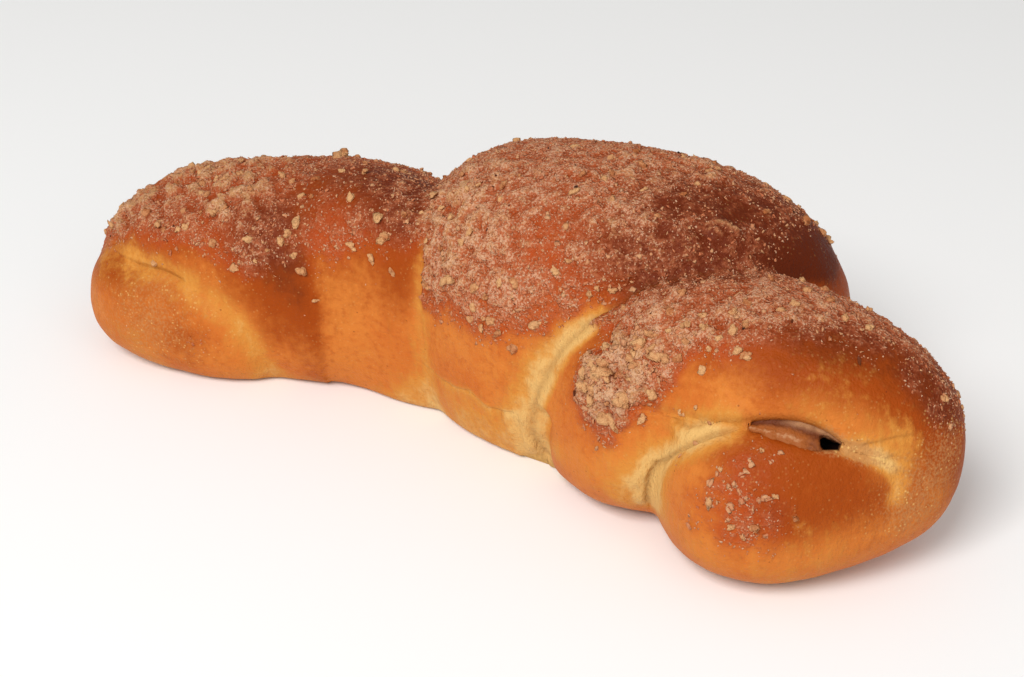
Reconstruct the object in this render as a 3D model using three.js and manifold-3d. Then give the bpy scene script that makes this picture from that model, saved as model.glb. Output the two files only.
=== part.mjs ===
// Nut crescent roll: yeast dough rolled up round a nut filling, bent a little, tucked in at both ends,
// strewn with chopped nuts and sugar and baked on a flat tray.
// Millimetres, +Z up. The origin is the middle of the roll's footprint on the tray, +X runs along the
// roll, and -Y is the side where the slit at the right end shows the filling.

import * as THREE from 'three';
import { mergeVertices } from 'three/addons/utils/BufferGeometryUtils.js';
import Module from 'manifold-3d';

const wasm = await Module();
wasm.setup();

// Driving dimensions

// The wraps of the dough, from the left end to the right.
// at and middle: where the wrap's centre is over the tray, and how high.
// length, width and top: its full size along and across, and its highest point.
// turn, tip and lean: its angles about Z, Y and X, in degrees.
// flare: how much longer its back is than its middle, as a share.
// crumbs: how many pieces of nut lie on it, where its surface faces up more than slope.
const WRAPS = [
  {
    name: 'left tuck', at: [-60, -13.5], middle: 10.5, length: 42, width: 28, top: 23,
    turn: 11, tip: -4, lean: -2, flare: 0, crumbs: 0, slope: 1,
  },
  {
    name: 'left arm', at: [-46.5, -3.5], middle: 15.5, length: 76, width: 35.5, top: 36,
    turn: 15, tip: 12, lean: 3, flare: 0.1, crumbs: 26, slope: 0.62,
  },
  {
    name: 'left neck', at: [-20.5, -1.5], middle: 16.5, length: 49, width: 23.5, top: 39.5,
    turn: 2, tip: -3, lean: 4, flare: 0.1, crumbs: 10, slope: 0.6,
  },
  {
    name: 'outer wrap', at: [17, 7.5], middle: 19, length: 80, width: 49, top: 49.5,
    turn: 4, tip: 3, lean: 2, flare: 0.14, crumbs: 44, slope: 0.5,
  },
  {
    name: 'right neck', at: [24.5, -6], middle: 15.5, length: 43, width: 27, top: 33.5,
    turn: -31, tip: 6, lean: -9, flare: -0.3, crumbs: 8, slope: 0.4,
  },
  {
    name: 'right arm', at: [47, -5.5], middle: 20, length: 68, width: 37, top: 42,
    turn: -8, tip: 0, lean: -1, flare: 0.36, crumbs: 30, slope: 0.55,
  },
  {
    name: 'right tuck', at: [57, -14], middle: 13.5, length: 45, width: 36, top: 28.5,
    turn: -2, tip: 8, lean: -7, flare: 0.5, crumbs: 10, slope: 0.15,
  },
];
const ROUNDING = 2.5; // exponent of a wrap's section: 2 is an ellipse, more is squarer
const WRAP_SIDES = 32;
const WRAP_RINGS = 22;

// The slit between the right arm and its tuck, and the filling that it shows.
const SLIT = { at: [65, -20.5, 27.5], along: [0.92, 0.37, -0.14], inward: [0, 0.8, -0.6] };
const SLIT_SIZE = { length: 17, height: 3.4, depth: 10 };
const PLUG = { length: 13, height: 3, depth: 16 }; // the filling pressed out into the slit
const PLUG_SETBACK = 1.2; // how far it lies behind the slit's lips
const PLUG_SHIFT = -2; // how far it lies to the left of the slit's middle
const LENS_SIDES = 20;
const LENS_RINGS = 12;

const FILLING_DIAMETER = 10;
const FILLING_ROUTE = [
  [-62, -7, 12.5], [-42, -4, 15], [-18, -1, 17.5], [14, 3, 20], [42, -4, 20], [63, -11, 20],
];
const FILLING_STEPS = 28;
const FILLING_SIDES = 6; // on each half of its round section
const GAP = 0.3; // clear space between the filling and the dough

// The chopped nuts on the crust.
const CRUMB_LARGEST = 4.4;
const CRUMB_SMALLEST = 1.9;
const CRUMB_SUNK = 0.44; // share of a crumb's size that is in the dough
const CRUMB_UNEVEN = [0.8, 1.2]; // how far its corners are from its middle, in half sizes
const CRUMB_WIDTH = [0.65, 1]; // its width and height as shares of its length
const CRUMB_HEIGHT = [0.55, 0.85];
const CRUMB_CLEARANCE = 1.06; // how far outside the other wraps it lies, 1 being on their surface
const CRUMB_SLIT_CLEARANCE = 13;
const CRUMB_TRIES = 60;
const CRUMB_SEED = 20;

const TRAY_BLOCK = 400;
const MERGE_DISTANCE = 1e-4;
const SLOPE_STEP = 0.05;

const degrees = THREE.MathUtils.degToRad;

/** A seeded row of numbers from 0 to 1. */
function seededRandom(seed) {
  let state = seed;
  return () => {
    state = (state + 0x6d2b79f5) | 0;
    let mixed = Math.imul(state ^ (state >>> 15), 1 | state);
    mixed = (mixed + Math.imul(mixed ^ (mixed >>> 7), 61 | mixed)) ^ mixed;
    return ((mixed ^ (mixed >>> 14)) >>> 0) / 4294967296;
  };
}

/** A geometry with position alone and its shared vertices merged. */
function bareGeometry(geometry) {
  const bare = geometry.clone();
  bare.deleteAttribute('normal');
  bare.deleteAttribute('uv');
  return mergeVertices(bare, MERGE_DISTANCE);
}

/** A closed geometry as a solid that can be joined and cut. */
function toSolid(geometry) {
  const bare = bareGeometry(geometry);
  return new wasm.Manifold(new wasm.Mesh({
    numProp: 3,
    vertProperties: new Float32Array(bare.attributes.position.array),
    triVerts: new Uint32Array(bare.index.array),
  }));
}

/** A solid back as a geometry. */
function toGeometry(solid) {
  const { vertProperties, triVerts } = solid.getMesh();
  const geometry = new THREE.BufferGeometry();
  geometry.setAttribute('position', new THREE.BufferAttribute(new Float32Array(vertProperties), 3));
  geometry.setIndex(new THREE.BufferAttribute(new Uint32Array(triVerts), 1));
  geometry.computeVertexNormals();
  return geometry;
}

/** Moves every vertex of a geometry by a function that changes it in place. */
function reshape(geometry, change) {
  const places = geometry.attributes.position;
  const vertex = new THREE.Vector3();
  for (let i = 0; i < places.count; i += 1) {
    change(vertex.fromBufferAttribute(places, i));
    places.setXYZ(i, vertex.x, vertex.y, vertex.z);
  }
  return geometry;
}

/** Half the wrap's size along, across and up. */
function halfSize(wrap) {
  return new THREE.Vector3(wrap.length / 2, wrap.width / 2, wrap.top - wrap.middle);
}

/** The wrap's place and angles. */
function wrapFrame(wrap) {
  const angles = new THREE.Euler(degrees(wrap.lean), degrees(-wrap.tip), degrees(wrap.turn), 'ZYX');
  return new THREE.Matrix4().makeRotationFromEuler(angles).setPosition(wrap.at[0], wrap.at[1], wrap.middle);
}

/** The sum of powers that is 1 on a wrap's rounded unit form. */
function roundedSum(vertex) {
  return ['x', 'y', 'z'].reduce((sum, axis) => sum + Math.abs(vertex[axis]) ** ROUNDING, 0);
}

/** Takes a point of the unit sphere to the wrap's surface. */
function ontoWrap(wrap, vertex) {
  vertex.multiplyScalar(roundedSum(vertex) ** (-1 / ROUNDING));
  vertex.x *= 1 + wrap.flare * vertex.y;
  return vertex.multiply(halfSize(wrap)).applyMatrix4(wrapFrame(wrap));
}

/** Under 1 inside the wrap, 1 on its surface and more outside. */
function reach(wrap, point) {
  const local = point.clone().applyMatrix4(wrapFrame(wrap).invert()).divide(halfSize(wrap));
  local.x /= 1 + wrap.flare * local.y;
  return roundedSum(local);
}

/** The direction straight out of the wrap at a point. */
function outward(wrap, point) {
  const rise = [[1, 0, 0], [0, 1, 0], [0, 0, 1]].map((axis) => {
    const step = new THREE.Vector3(...axis).multiplyScalar(SLOPE_STEP);
    return reach(wrap, point.clone().add(step)) - reach(wrap, point.clone().sub(step));
  });
  return new THREE.Vector3(...rise).normalize();
}

/** One wrap as a rounded closed form, its poles at its two ends. */
function wrapSolid(wrap) {
  const ball = new THREE.SphereGeometry(1, WRAP_SIDES, WRAP_RINGS).rotateZ(Math.PI / 2);
  return toSolid(reshape(bareGeometry(ball), (vertex) => ontoWrap(wrap, vertex)));
}

/** A flat lens in the slit's plane, moved from the slit's middle along it and into the dough. */
function slitLens({ length, height, depth }, shiftAlong, shiftInward) {
  const along = new THREE.Vector3(...SLIT.along).normalize();
  const inward = new THREE.Vector3(...SLIT.inward);
  const across = new THREE.Vector3().crossVectors(along, inward).normalize();
  inward.crossVectors(across, along);
  const lens = new THREE.SphereGeometry(1, LENS_SIDES, LENS_RINGS).scale(length / 2, depth / 2, height / 2);
  const place = new THREE.Vector3(...SLIT.at)
    .addScaledVector(along, shiftAlong)
    .addScaledVector(inward, shiftInward);
  const frame = new THREE.Matrix4().makeBasis(along, inward, across).setPosition(place);
  return toSolid(lens.applyMatrix4(frame));
}

/** The filling's core along its route, grown on all sides by a margin. */
function fillingCore(margin) {
  const points = FILLING_ROUTE.map((point) => new THREE.Vector3(...point));
  const ends = [[points[0], points[1]], [points.at(-1), points.at(-2)]];
  for (const [end, next] of ends) {
    end.addScaledVector(end.clone().sub(next).normalize(), margin);
  }
  const ring = new THREE.Shape().absarc(0, 0, FILLING_DIAMETER / 2 + margin, 0, 2 * Math.PI);
  return toSolid(new THREE.ExtrudeGeometry(ring, {
    steps: FILLING_STEPS,
    curveSegments: FILLING_SIDES,
    extrudePath: new THREE.CatmullRomCurve3(points),
  }));
}

/** The nut filling, grown by a margin: its core, with the flat part pressed out into the slit. */
function fillingSolid(margin) {
  const grown = Object.fromEntries(Object.entries(PLUG).map(([side, size]) => [side, size + 2 * margin]));
  return fillingCore(margin).add(slitLens(grown, PLUG_SHIFT, PLUG_SETBACK + PLUG.depth / 2));
}

/** A place for a crumb on the wrap's open, upward surface, or nothing if this try misses. */
function crumbPlace(wrap, random) {
  const direction = new THREE.Vector3(random() - 0.5, random() - 0.5, random() - 0.25).normalize();
  const point = ontoWrap(wrap, direction);
  const normal = outward(wrap, point);
  const covered = WRAPS.some((other) => other !== wrap && reach(other, point) < CRUMB_CLEARANCE);
  const nearSlit = point.distanceTo(new THREE.Vector3(...SLIT.at)) < CRUMB_SLIT_CLEARANCE;
  return normal.z < wrap.slope || covered || nearSlit ? null : { point, normal };
}

/** The distance from a place to the nearest crumb that is already there. */
function nearestCrumb(place, crumbs) {
  return crumbs.reduce((least, crumb) => Math.min(least, crumb.point.distanceTo(place.point)), Infinity);
}

/** Places for the crumbs of all wraps, the largest first, each as far as it can be from the rest. */
function crumbPlaces(random) {
  const crumbs = [];
  for (const wrap of WRAPS) {
    for (let i = 0; i < wrap.crumbs; i += 1) {
      let best = null;
      for (let attempt = 0; attempt < CRUMB_TRIES; attempt += 1) {
        const place = crumbPlace(wrap, random);
        if (place && (!best || nearestCrumb(place, crumbs) > nearestCrumb(best, crumbs))) best = place;
      }
      const rank = Math.sqrt(i / (wrap.crumbs - 1));
      const size = THREE.MathUtils.lerp(CRUMB_LARGEST, CRUMB_SMALLEST, rank);
      if (best) crumbs.push({ ...best, size });
    }
  }
  return crumbs;
}

/** One chopped piece of nut, with few uneven sides, sunk into the dough. */
function crumbSolid(crumb, random) {
  const between = ([low, high]) => THREE.MathUtils.lerp(low, high, random());
  const half = crumb.size / 2;
  const grain = bareGeometry(new THREE.IcosahedronGeometry(1, 0));
  reshape(grain, (vertex) => vertex.multiplyScalar(between(CRUMB_UNEVEN)));
  grain.scale(half, half * between(CRUMB_WIDTH), half * between(CRUMB_HEIGHT));
  grain.applyQuaternion(tumble(random));
  const place = crumb.point.clone().addScaledVector(crumb.normal, half - CRUMB_SUNK * crumb.size);
  return toSolid(grain.translate(place.x, place.y, place.z));
}

/** A seeded turn to any angle. */
function tumble(random) {
  const angles = new THREE.Euler(2 * Math.PI * random(), 2 * Math.PI * random(), 2 * Math.PI * random());
  return new THREE.Quaternion().setFromEuler(angles);
}

/** The baked dough with the nuts on it, flat below, hollow for the filling and open at the slit. */
function doughSolid() {
  const random = seededRandom(CRUMB_SEED);
  const block = new THREE.BoxGeometry(TRAY_BLOCK, TRAY_BLOCK, TRAY_BLOCK);
  const tray = toSolid(block.translate(0, 0, -TRAY_BLOCK / 2));
  const wraps = WRAPS.map(wrapSolid).reduce((whole, wrap) => whole.add(wrap)).subtract(tray);
  const crusted = crumbPlaces(random).reduce((whole, crumb) => whole.add(crumbSolid(crumb, random)), wraps);
  return crusted.subtract(fillingSolid(GAP)).subtract(slitLens(SLIT_SIZE, 0, 0));
}

/** A named piece with its own finish. */
function piece(name, solid, finish) {
  const mesh = new THREE.Mesh(toGeometry(solid), new THREE.MeshStandardMaterial(finish));
  mesh.name = name;
  return mesh;
}

const roll = new THREE.Group();
roll.name = 'nut_crescent_roll';
roll.add(piece('roll_dough', doughSolid(), { color: 0xc87c3e, roughness: 0.55, metalness: 0 }));
roll.add(piece('nut_filling', fillingSolid(0), { color: 0x7a5440, roughness: 0.85, metalness: 0 }));

export default roll;
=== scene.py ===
"""Nut crescent roll: wraps of baked yeast dough, nut filling in a slit, sugar and nuts on top.

The shapes are worked out in millimetres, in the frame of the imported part: +X along the roll, -Y the
side with the slit, +Z up from the surface that the roll rests on. Meshes are written in metres.
"""

from __future__ import annotations

import logging
import math
from dataclasses import dataclass, replace
from enum import Enum
from functools import cached_property
from typing import Callable, Protocol

import bpy
import numpy as np
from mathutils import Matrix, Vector

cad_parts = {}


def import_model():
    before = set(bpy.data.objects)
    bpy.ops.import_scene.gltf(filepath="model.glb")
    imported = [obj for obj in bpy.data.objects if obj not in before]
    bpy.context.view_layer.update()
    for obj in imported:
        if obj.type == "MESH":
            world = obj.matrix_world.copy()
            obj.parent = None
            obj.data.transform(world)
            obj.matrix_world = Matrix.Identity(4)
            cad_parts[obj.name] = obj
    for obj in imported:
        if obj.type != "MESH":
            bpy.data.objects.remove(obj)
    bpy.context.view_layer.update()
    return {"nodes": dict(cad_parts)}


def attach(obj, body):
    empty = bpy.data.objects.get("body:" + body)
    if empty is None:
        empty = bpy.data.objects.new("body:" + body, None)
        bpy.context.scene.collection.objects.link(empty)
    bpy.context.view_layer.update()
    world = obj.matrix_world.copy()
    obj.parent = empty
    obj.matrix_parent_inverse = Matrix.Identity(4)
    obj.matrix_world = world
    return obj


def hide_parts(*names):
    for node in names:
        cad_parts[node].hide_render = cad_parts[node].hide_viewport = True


LOG = logging.getLogger("nut_crescent_roll")
MM = 0.001
BODY = "root"
DOUGH_NODE = "roll_dough"
FILLING_NODE = "nut_filling"

Points = np.ndarray
Values = np.ndarray
Colour = tuple[float, float, float]
Place = tuple[float, float, float]


# Small maths


def linear(level: int) -> float:
    """Linear value of an sRGB level from 0 to 255."""
    share = level / 255
    return share / 12.92 if share <= 0.04045 else ((share + 0.055) / 1.055) ** 2.4


def shade(red: int, green: int, blue: int) -> Colour:
    """Linear colour of an sRGB shade given from 0 to 255."""
    return linear(red), linear(green), linear(blue)


def smooth_step(low: float, high: float, values: Values) -> Values:
    """Smooth rise from 0 at low to 1 at high."""
    share = np.clip((values - low) / (high - low), 0, 1)
    return share * share * (3 - 2 * share)


def smooth_min(first: Values, second: Values, width: float | Values) -> Values:
    """Smaller of two distances, with the crease between them filled over a width."""
    overlap = np.maximum(width - np.abs(first - second), 0)
    return np.minimum(first, second) - overlap * overlap / (4 * width)


def smooth_max(first: Values, second: Values, width: float | Values) -> Values:
    """Larger of two distances, with the edge between them rounded over a width."""
    return -smooth_min(-first, -second, width)


def unit(vectors: Points) -> Points:
    """Vectors brought to length 1."""
    return vectors / np.maximum(np.linalg.norm(vectors, axis=-1, keepdims=True), 1e-12)


def turned(turn: float, tip: float, lean: float) -> np.ndarray:
    """Rotation by lean about X, then by tip that lifts +X, then by turn about Z.

    Args:
        turn: Degrees about Z.
        tip: Degrees by which +X is lifted.
        lean: Degrees about X.

    Returns:
        The rotation's matrix.
    """
    z, y, x = math.radians(turn), math.radians(-tip), math.radians(lean)
    about_z = np.array([[math.cos(z), -math.sin(z), 0], [math.sin(z), math.cos(z), 0], [0, 0, 1]])
    about_y = np.array([[math.cos(y), 0, math.sin(y)], [0, 1, 0], [-math.sin(y), 0, math.cos(y)]])
    about_x = np.array([[1, 0, 0], [0, math.cos(x), -math.sin(x)], [0, math.sin(x), math.cos(x)]])
    return about_z @ about_y @ about_x


class LumpField:
    """Seeded smooth lumps through space, between about -1 and 1."""

    corners = 256
    steepness = 1.6

    def __init__(self, seed: int) -> None:
        """Draws the field's corners.

        Args:
            seed: Seed of the draw.
        """
        draw = np.random.default_rng(seed)
        order = draw.permutation(self.corners)
        self._order = np.concatenate([order, order])
        self._slopes = unit(draw.normal(size=(self.corners, 3)))

    def __call__(self, points: Points, size: float) -> Values:
        """Height of the field.

        Args:
            points: Places in millimetres.
            size: Size of one lump in millimetres.

        Returns:
            One height for each place.
        """
        scaled = points / size
        corner = np.floor(scaled).astype(int)
        inside = scaled - corner
        fade = inside**3 * (inside * (inside * 6 - 15) + 10)
        height = np.zeros(len(points))
        for step in np.ndindex(2, 2, 2):
            cell = (corner + step) & (self.corners - 1)
            pick = self._order[self._order[self._order[cell[:, 0]] + cell[:, 1]] + cell[:, 2]]
            rise = np.einsum("ij,ij->i", self._slopes[pick], inside - step)
            weight = np.prod(np.where(np.array(step, bool), fade, 1 - fade), axis=1)
            height += weight * rise
        return height * self.steepness


# The form of the dough


@dataclass(frozen=True)
class Wrap:
    """One rounded wrap of the dough, in millimetres and degrees.

    at and middle place its centre, length, width and top are its sizes, turn, tip and lean its angles,
    and flare is how much longer its back is than its middle.
    """

    at: tuple[float, float]
    middle: float
    length: float
    width: float
    top: float
    turn: float = 0.0
    tip: float = 0.0
    lean: float = 0.0
    flare: float = 0.0
    rounding: float = 2.5
    flare_limits: tuple[float, float] = (0.3, 2.0)

    @property
    def half(self) -> np.ndarray:
        """Half sizes along, across and up."""
        return np.array([self.length / 2, self.width / 2, self.top - self.middle])

    @property
    def centre(self) -> np.ndarray:
        """Centre of the wrap."""
        return np.array([*self.at, self.middle])

    @property
    def axes(self) -> np.ndarray:
        """Rotation of the wrap."""
        return turned(self.turn, self.tip, self.lean)

    def onto(self, directions: Points) -> Points:
        """Takes points of the unit sphere to the wrap's surface.

        Args:
            directions: Points of the unit sphere.

        Returns:
            Places in millimetres.
        """
        power = self.rounding
        form = directions / (np.abs(directions) ** power).sum(axis=1, keepdims=True) ** (1 / power)
        form[:, 0] *= 1 + self.flare * form[:, 1]
        return (form * self.half) @ self.axes.T + self.centre

    def distance(self, points: Points) -> Values:
        """Distance to the wrap's surface, under 0 inside.

        Args:
            points: Places in millimetres.

        Returns:
            Distances in millimetres, close to true ones near the surface.
        """
        power = self.rounding
        half = self.half
        local = (points - self.centre) @ self.axes / half
        spread = np.clip(1 + self.flare * local[:, 1], *self.flare_limits)
        local[:, 0] /= spread
        reach = np.maximum((np.abs(local) ** power).sum(axis=1) ** (1 / power), 1e-6)
        rise = np.sign(local) * (np.abs(local) / reach[:, None]) ** (power - 1)
        slope = rise / half
        slope[:, 1] -= rise[:, 0] * local[:, 0] * self.flare / (spread * half[1])
        slope[:, 0] /= spread
        return (reach - 1) / np.linalg.norm(slope, axis=1)


@dataclass(frozen=True)
class Lens:
    """A flat lens with pointed ends, used for the slit in the dough, in millimetres.

    bow is how far its middle is bent upwards from the straight line between its ends, gape how much
    wider it opens towards its far end, and least the square of the narrowing that is left at its ends.
    """

    at: Place = (63.6, -20.9, 27.6)
    along: Place = (0.92, 0.37, -0.14)
    inward: Place = (0.0, 0.8, -0.6)
    length: float = 18.0
    height: float = 3.4
    depth: float = 20.0
    bow: float = 0.6
    gape: float = 0.45
    least: float = 0.04

    @property
    def axes(self) -> np.ndarray:
        """The slit's own directions.

        Returns:
            Columns of length 1 along the slit, into the dough and across the slit.
        """
        along = unit(np.array(self.along))
        across = unit(np.cross(along, np.array(self.inward)))
        return np.stack([along, np.cross(across, along), across], axis=1)

    @property
    def half(self) -> np.ndarray:
        """Half sizes along, inward and across."""
        return np.array([self.length, self.depth, self.height]) / 2

    def narrowing(self, share: Values) -> Values:
        """How much an ellipse narrows along its length, from -1 to 1."""
        return np.sqrt(np.maximum(1 - share**2, self.least))

    def taper(self, share: Values) -> Values:
        """How much the lens narrows from an ellipsoid, along its length from -1 to 1."""
        return (1 + self.gape * share) * self.narrowing(share)

    def level(self, local: Points) -> Values:
        """How high places lie in the slit's mouth, from -1 at the lower lip to 1 at the upper one."""
        share = np.clip(local[:, 0] / self.half[0], -1, 1)
        return local[:, 2] / (self.half[2] * self.taper(share) * self.narrowing(share))

    def onto(self, directions: Points) -> Points:
        """Takes points of the unit sphere to the lens.

        Args:
            directions: Points of the unit sphere.

        Returns:
            Places in millimetres.
        """
        local = directions * self.half
        local[:, 2] *= self.taper(directions[:, 0])
        local[:, 2] += self.bow * (1 - directions[:, 0] ** 2)
        return local @ self.axes.T + np.array(self.at)

    def local(self, points: Points) -> Points:
        """Places seen from the slit's middle: along it, inward and across.

        Args:
            points: Places in millimetres.

        Returns:
            Three lengths in millimetres for each place.
        """
        local = (points - np.array(self.at)) @ self.axes
        local[:, 2] -= self.bow * np.maximum(1 - (local[:, 0] / self.half[0]) ** 2, -1)
        return local

    def distance(self, points: Points) -> Values:
        """Distance to the lens, under 0 inside.

        Args:
            points: Places in millimetres.

        Returns:
            Distances in millimetres, close to true ones near the surface.
        """
        local = self.local(points) / self.half
        half = np.repeat(self.half[None], len(points), axis=0)
        half[:, 2] *= self.taper(np.clip(local[:, 0], -1, 1))
        local[:, 2] *= self.half[2] / half[:, 2]
        reach = np.maximum(np.linalg.norm(local, axis=1), 1e-6)
        slope = np.linalg.norm(local / reach[:, None] / half, axis=1)
        return (reach - 1) / slope


class Part(Enum):
    """The three parts of the roll that the coat and the colours follow."""

    LEFT = 0
    MIDDLE = 1
    RIGHT = 2


@dataclass(frozen=True)
class Arm:
    """One arm of the roll: its wrap, its neck towards the middle and its end tucked in before it.

    The neck runs into the wrap over one width, the tuck over a width that changes along the roll.
    """

    wrap: Wrap
    neck: Wrap
    tuck: Wrap
    neck_width: float
    tuck_places: tuple[float, ...]
    tuck_widths: tuple[float, ...]

    def distance(self, points: Points) -> Values:
        """Distance to the arm's surface, under 0 inside.

        Args:
            points: Places in millimetres.

        Returns:
            Distances in millimetres.
        """
        width = np.interp(points[:, 0], self.tuck_places, self.tuck_widths)
        whole = smooth_min(self.wrap.distance(points), self.neck.distance(points), self.neck_width)
        return smooth_min(whole, self.tuck.distance(points), width)


@dataclass(frozen=True)
class DoughForm:
    """The roll's arms and middle wrap, and how softly they run into one another.

    The valley is the seam before the right arm, and its width changes from the front to the back.
    """

    left_arm: Arm = Arm(
        wrap=Wrap((-46.5, -3.5), 15.5, 76, 35.5, 36, turn=15, tip=12, lean=3, flare=0.1),
        neck=Wrap((-20.5, -1.5), 16.5, 49, 23.5, 39.5, turn=2, tip=-3, lean=4, flare=0.1),
        tuck=Wrap((-60, -13.5), 10.5, 42, 28, 23, turn=11, tip=-4, lean=-2),
        neck_width=4.0, tuck_places=(-74, -44), tuck_widths=(1.5, 4.0),
    )
    outer_wrap: Wrap = Wrap((17, 7.5), 19, 80, 49, 49.5, turn=4, tip=3, lean=2, flare=0.14)
    right_arm: Arm = Arm(
        wrap=Wrap((47, -5.5), 20, 68, 37, 42, turn=-8, lean=-1, flare=0.36),
        neck=Wrap((24.5, -6), 15.5, 43, 27, 33.5, turn=-31, tip=6, lean=-9, flare=-0.3),
        tuck=Wrap((57, -14), 13.5, 45, 36, 28.5, turn=-2, tip=8, lean=-7, flare=0.5),
        neck_width=5.0, tuck_places=(54, 72, 84), tuck_widths=(1.2, 1.5, 5.0),
    )
    slit: Lens = Lens()
    seam_width: float = 1.2
    valley_places: tuple[float, ...] = (-15, -6)
    valley_widths: tuple[float, ...] = (2.0, 1.2)
    base_rounding: float = 1.6
    lip_rounding: float = 1.3
    settling: float = 0.9

    @property
    def wraps(self) -> tuple[Wrap, ...]:
        """All wraps, from the left end to the right."""
        left, right = self.left_arm, self.right_arm
        return left.tuck, left.wrap, left.neck, self.outer_wrap, right.neck, right.wrap, right.tuck

    def uncut(self, points: Points) -> Values:
        """Distance to the roll's smooth surface without its slit, under 0 inside.

        Args:
            points: Places in millimetres.

        Returns:
            Distances in millimetres.
        """
        width = np.interp(points[:, 1], self.valley_places, self.valley_widths)
        left, middle = self.left_arm.distance(points), self.outer_wrap.distance(points)
        whole = smooth_min(left, middle, self.seam_width)
        whole = smooth_min(whole, self.right_arm.distance(points), width)
        return smooth_max(whole, -points[:, 2], self.base_rounding)

    def distance(self, points: Points) -> Values:
        """Distance to the roll's smooth surface, under 0 inside."""
        return smooth_max(self.uncut(points), -self.slit.distance(points), self.lip_rounding)

    def outward(self, points: Points, step: float = 0.05) -> Points:
        """Direction straight out of the roll.

        Args:
            points: Places in millimetres, near the surface.
            step: Step over which the slope is taken.

        Returns:
            One direction of length 1 for each place.
        """
        slope = np.empty_like(points)
        for axis in range(3):
            shift = np.zeros(3)
            shift[axis] = step
            slope[:, axis] = self.distance(points + shift) - self.distance(points - shift)
        return unit(slope)

    def settle(self, points: Points, rounds: int = 4) -> Points:
        """Moves places straight onto the roll's surface.

        Args:
            points: Places in millimetres, near the surface.
            rounds: How often they are moved.

        Returns:
            The places on the surface.
        """
        for _ in range(rounds):
            points = points - self.outward(points) * self.distance(points)[:, None] * self.settling
        return points


# Work with Blender's operators


def clear_selection() -> None:
    """Leaves edit mode and deselects everything."""
    if bpy.context.object and bpy.context.object.mode != "OBJECT":
        bpy.ops.object.mode_set(mode="OBJECT")
    bpy.ops.object.select_all(action="DESELECT")


def vertices_of(piece: bpy.types.Object) -> Points:
    """A piece's vertices.

    Args:
        piece: The piece.

    Returns:
        Its vertices in millimetres.
    """
    flat = np.empty(len(piece.data.vertices) * 3, np.float32)
    piece.data.vertices.foreach_get("co", flat)
    return flat.reshape(-1, 3).astype(float) / MM


def move_vertices(piece: bpy.types.Object, points: Points) -> None:
    """Sets a piece's vertices from millimetres."""
    piece.data.vertices.foreach_set("co", (points * MM).astype(np.float32).ravel())
    piece.data.update()


def ball(name: str, onto: Callable[[Points], Points], segments: int, rings: int) -> bpy.types.Object:
    """A closed round form.

    Args:
        name: Name of the piece.
        onto: Takes points of the unit sphere to their places in millimetres.
        segments: Faces round it.
        rings: Faces from pole to pole.

    Returns:
        The new piece.
    """
    clear_selection()
    bpy.ops.mesh.primitive_uv_sphere_add(segments=segments, ring_count=rings, radius=1.0)
    piece = bpy.context.object
    piece.name = piece.data.name = name
    move_vertices(piece, onto(vertices_of(piece) * MM))
    return piece


def joined(pieces: list[bpy.types.Object]) -> bpy.types.Object:
    """Joins pieces.

    Args:
        pieces: The pieces to join.

    Returns:
        The first of them, which holds them all.
    """
    clear_selection()
    for piece in pieces:
        piece.select_set(True)
    bpy.context.view_layer.objects.active = pieces[0]
    bpy.ops.object.join()
    return pieces[0]


def apply_modifier(piece: bpy.types.Object, kind: str, **settings: object) -> None:
    """Adds a modifier to a piece and applies it.

    Args:
        piece: The piece to change.
        kind: Type of the modifier.
        settings: Its settings by name.
    """
    clear_selection()
    piece.select_set(True)
    bpy.context.view_layer.objects.active = piece
    modifier = piece.modifiers.new(kind.title(), kind)
    for name, value in settings.items():
        setattr(modifier, name, value)
    bpy.ops.object.modifier_apply(modifier=modifier.name)


def cut_flat_base(piece: bpy.types.Object) -> None:
    """Cuts a piece off level with the surface that it rests on.

    Args:
        piece: The piece to cut.
    """
    clear_selection()
    bpy.context.view_layer.objects.active = piece
    piece.select_set(True)
    bpy.ops.object.mode_set(mode="EDIT")
    bpy.ops.mesh.select_all(action="SELECT")
    bpy.ops.mesh.bisect(plane_co=(0, 0, 0), plane_no=(0, 0, 1), use_fill=True, clear_inner=True)
    bpy.ops.object.mode_set(mode="OBJECT")


def remove(piece: bpy.types.Object) -> None:
    """Removes a helper piece.

    Args:
        piece: The piece, which is removed with its mesh.
    """
    mesh = piece.data
    bpy.data.objects.remove(piece)
    bpy.data.meshes.remove(mesh)


def paint(piece: bpy.types.Object, name: str, values: Values) -> None:
    """Stores one number for each vertex under a name that a finish reads."""
    layer = piece.data.attributes.new(name, "FLOAT", "POINT")
    layer.data.foreach_set("value", values.astype(np.float32))


def mesh_piece(name: str, points: Points, faces: np.ndarray) -> bpy.types.Object:
    """A piece from arrays.

    Args:
        name: Name of the piece.
        points: Vertices in millimetres.
        faces: Vertex numbers of each face, all with as many corners.

    Returns:
        The new piece, in the scene.
    """
    mesh = bpy.data.meshes.new(name)
    mesh.from_pydata((points * MM).tolist(), [], faces.tolist())
    mesh.update()
    piece = bpy.data.objects.new(name, mesh)
    bpy.context.scene.collection.objects.link(piece)
    return piece


# Shader building


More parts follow.
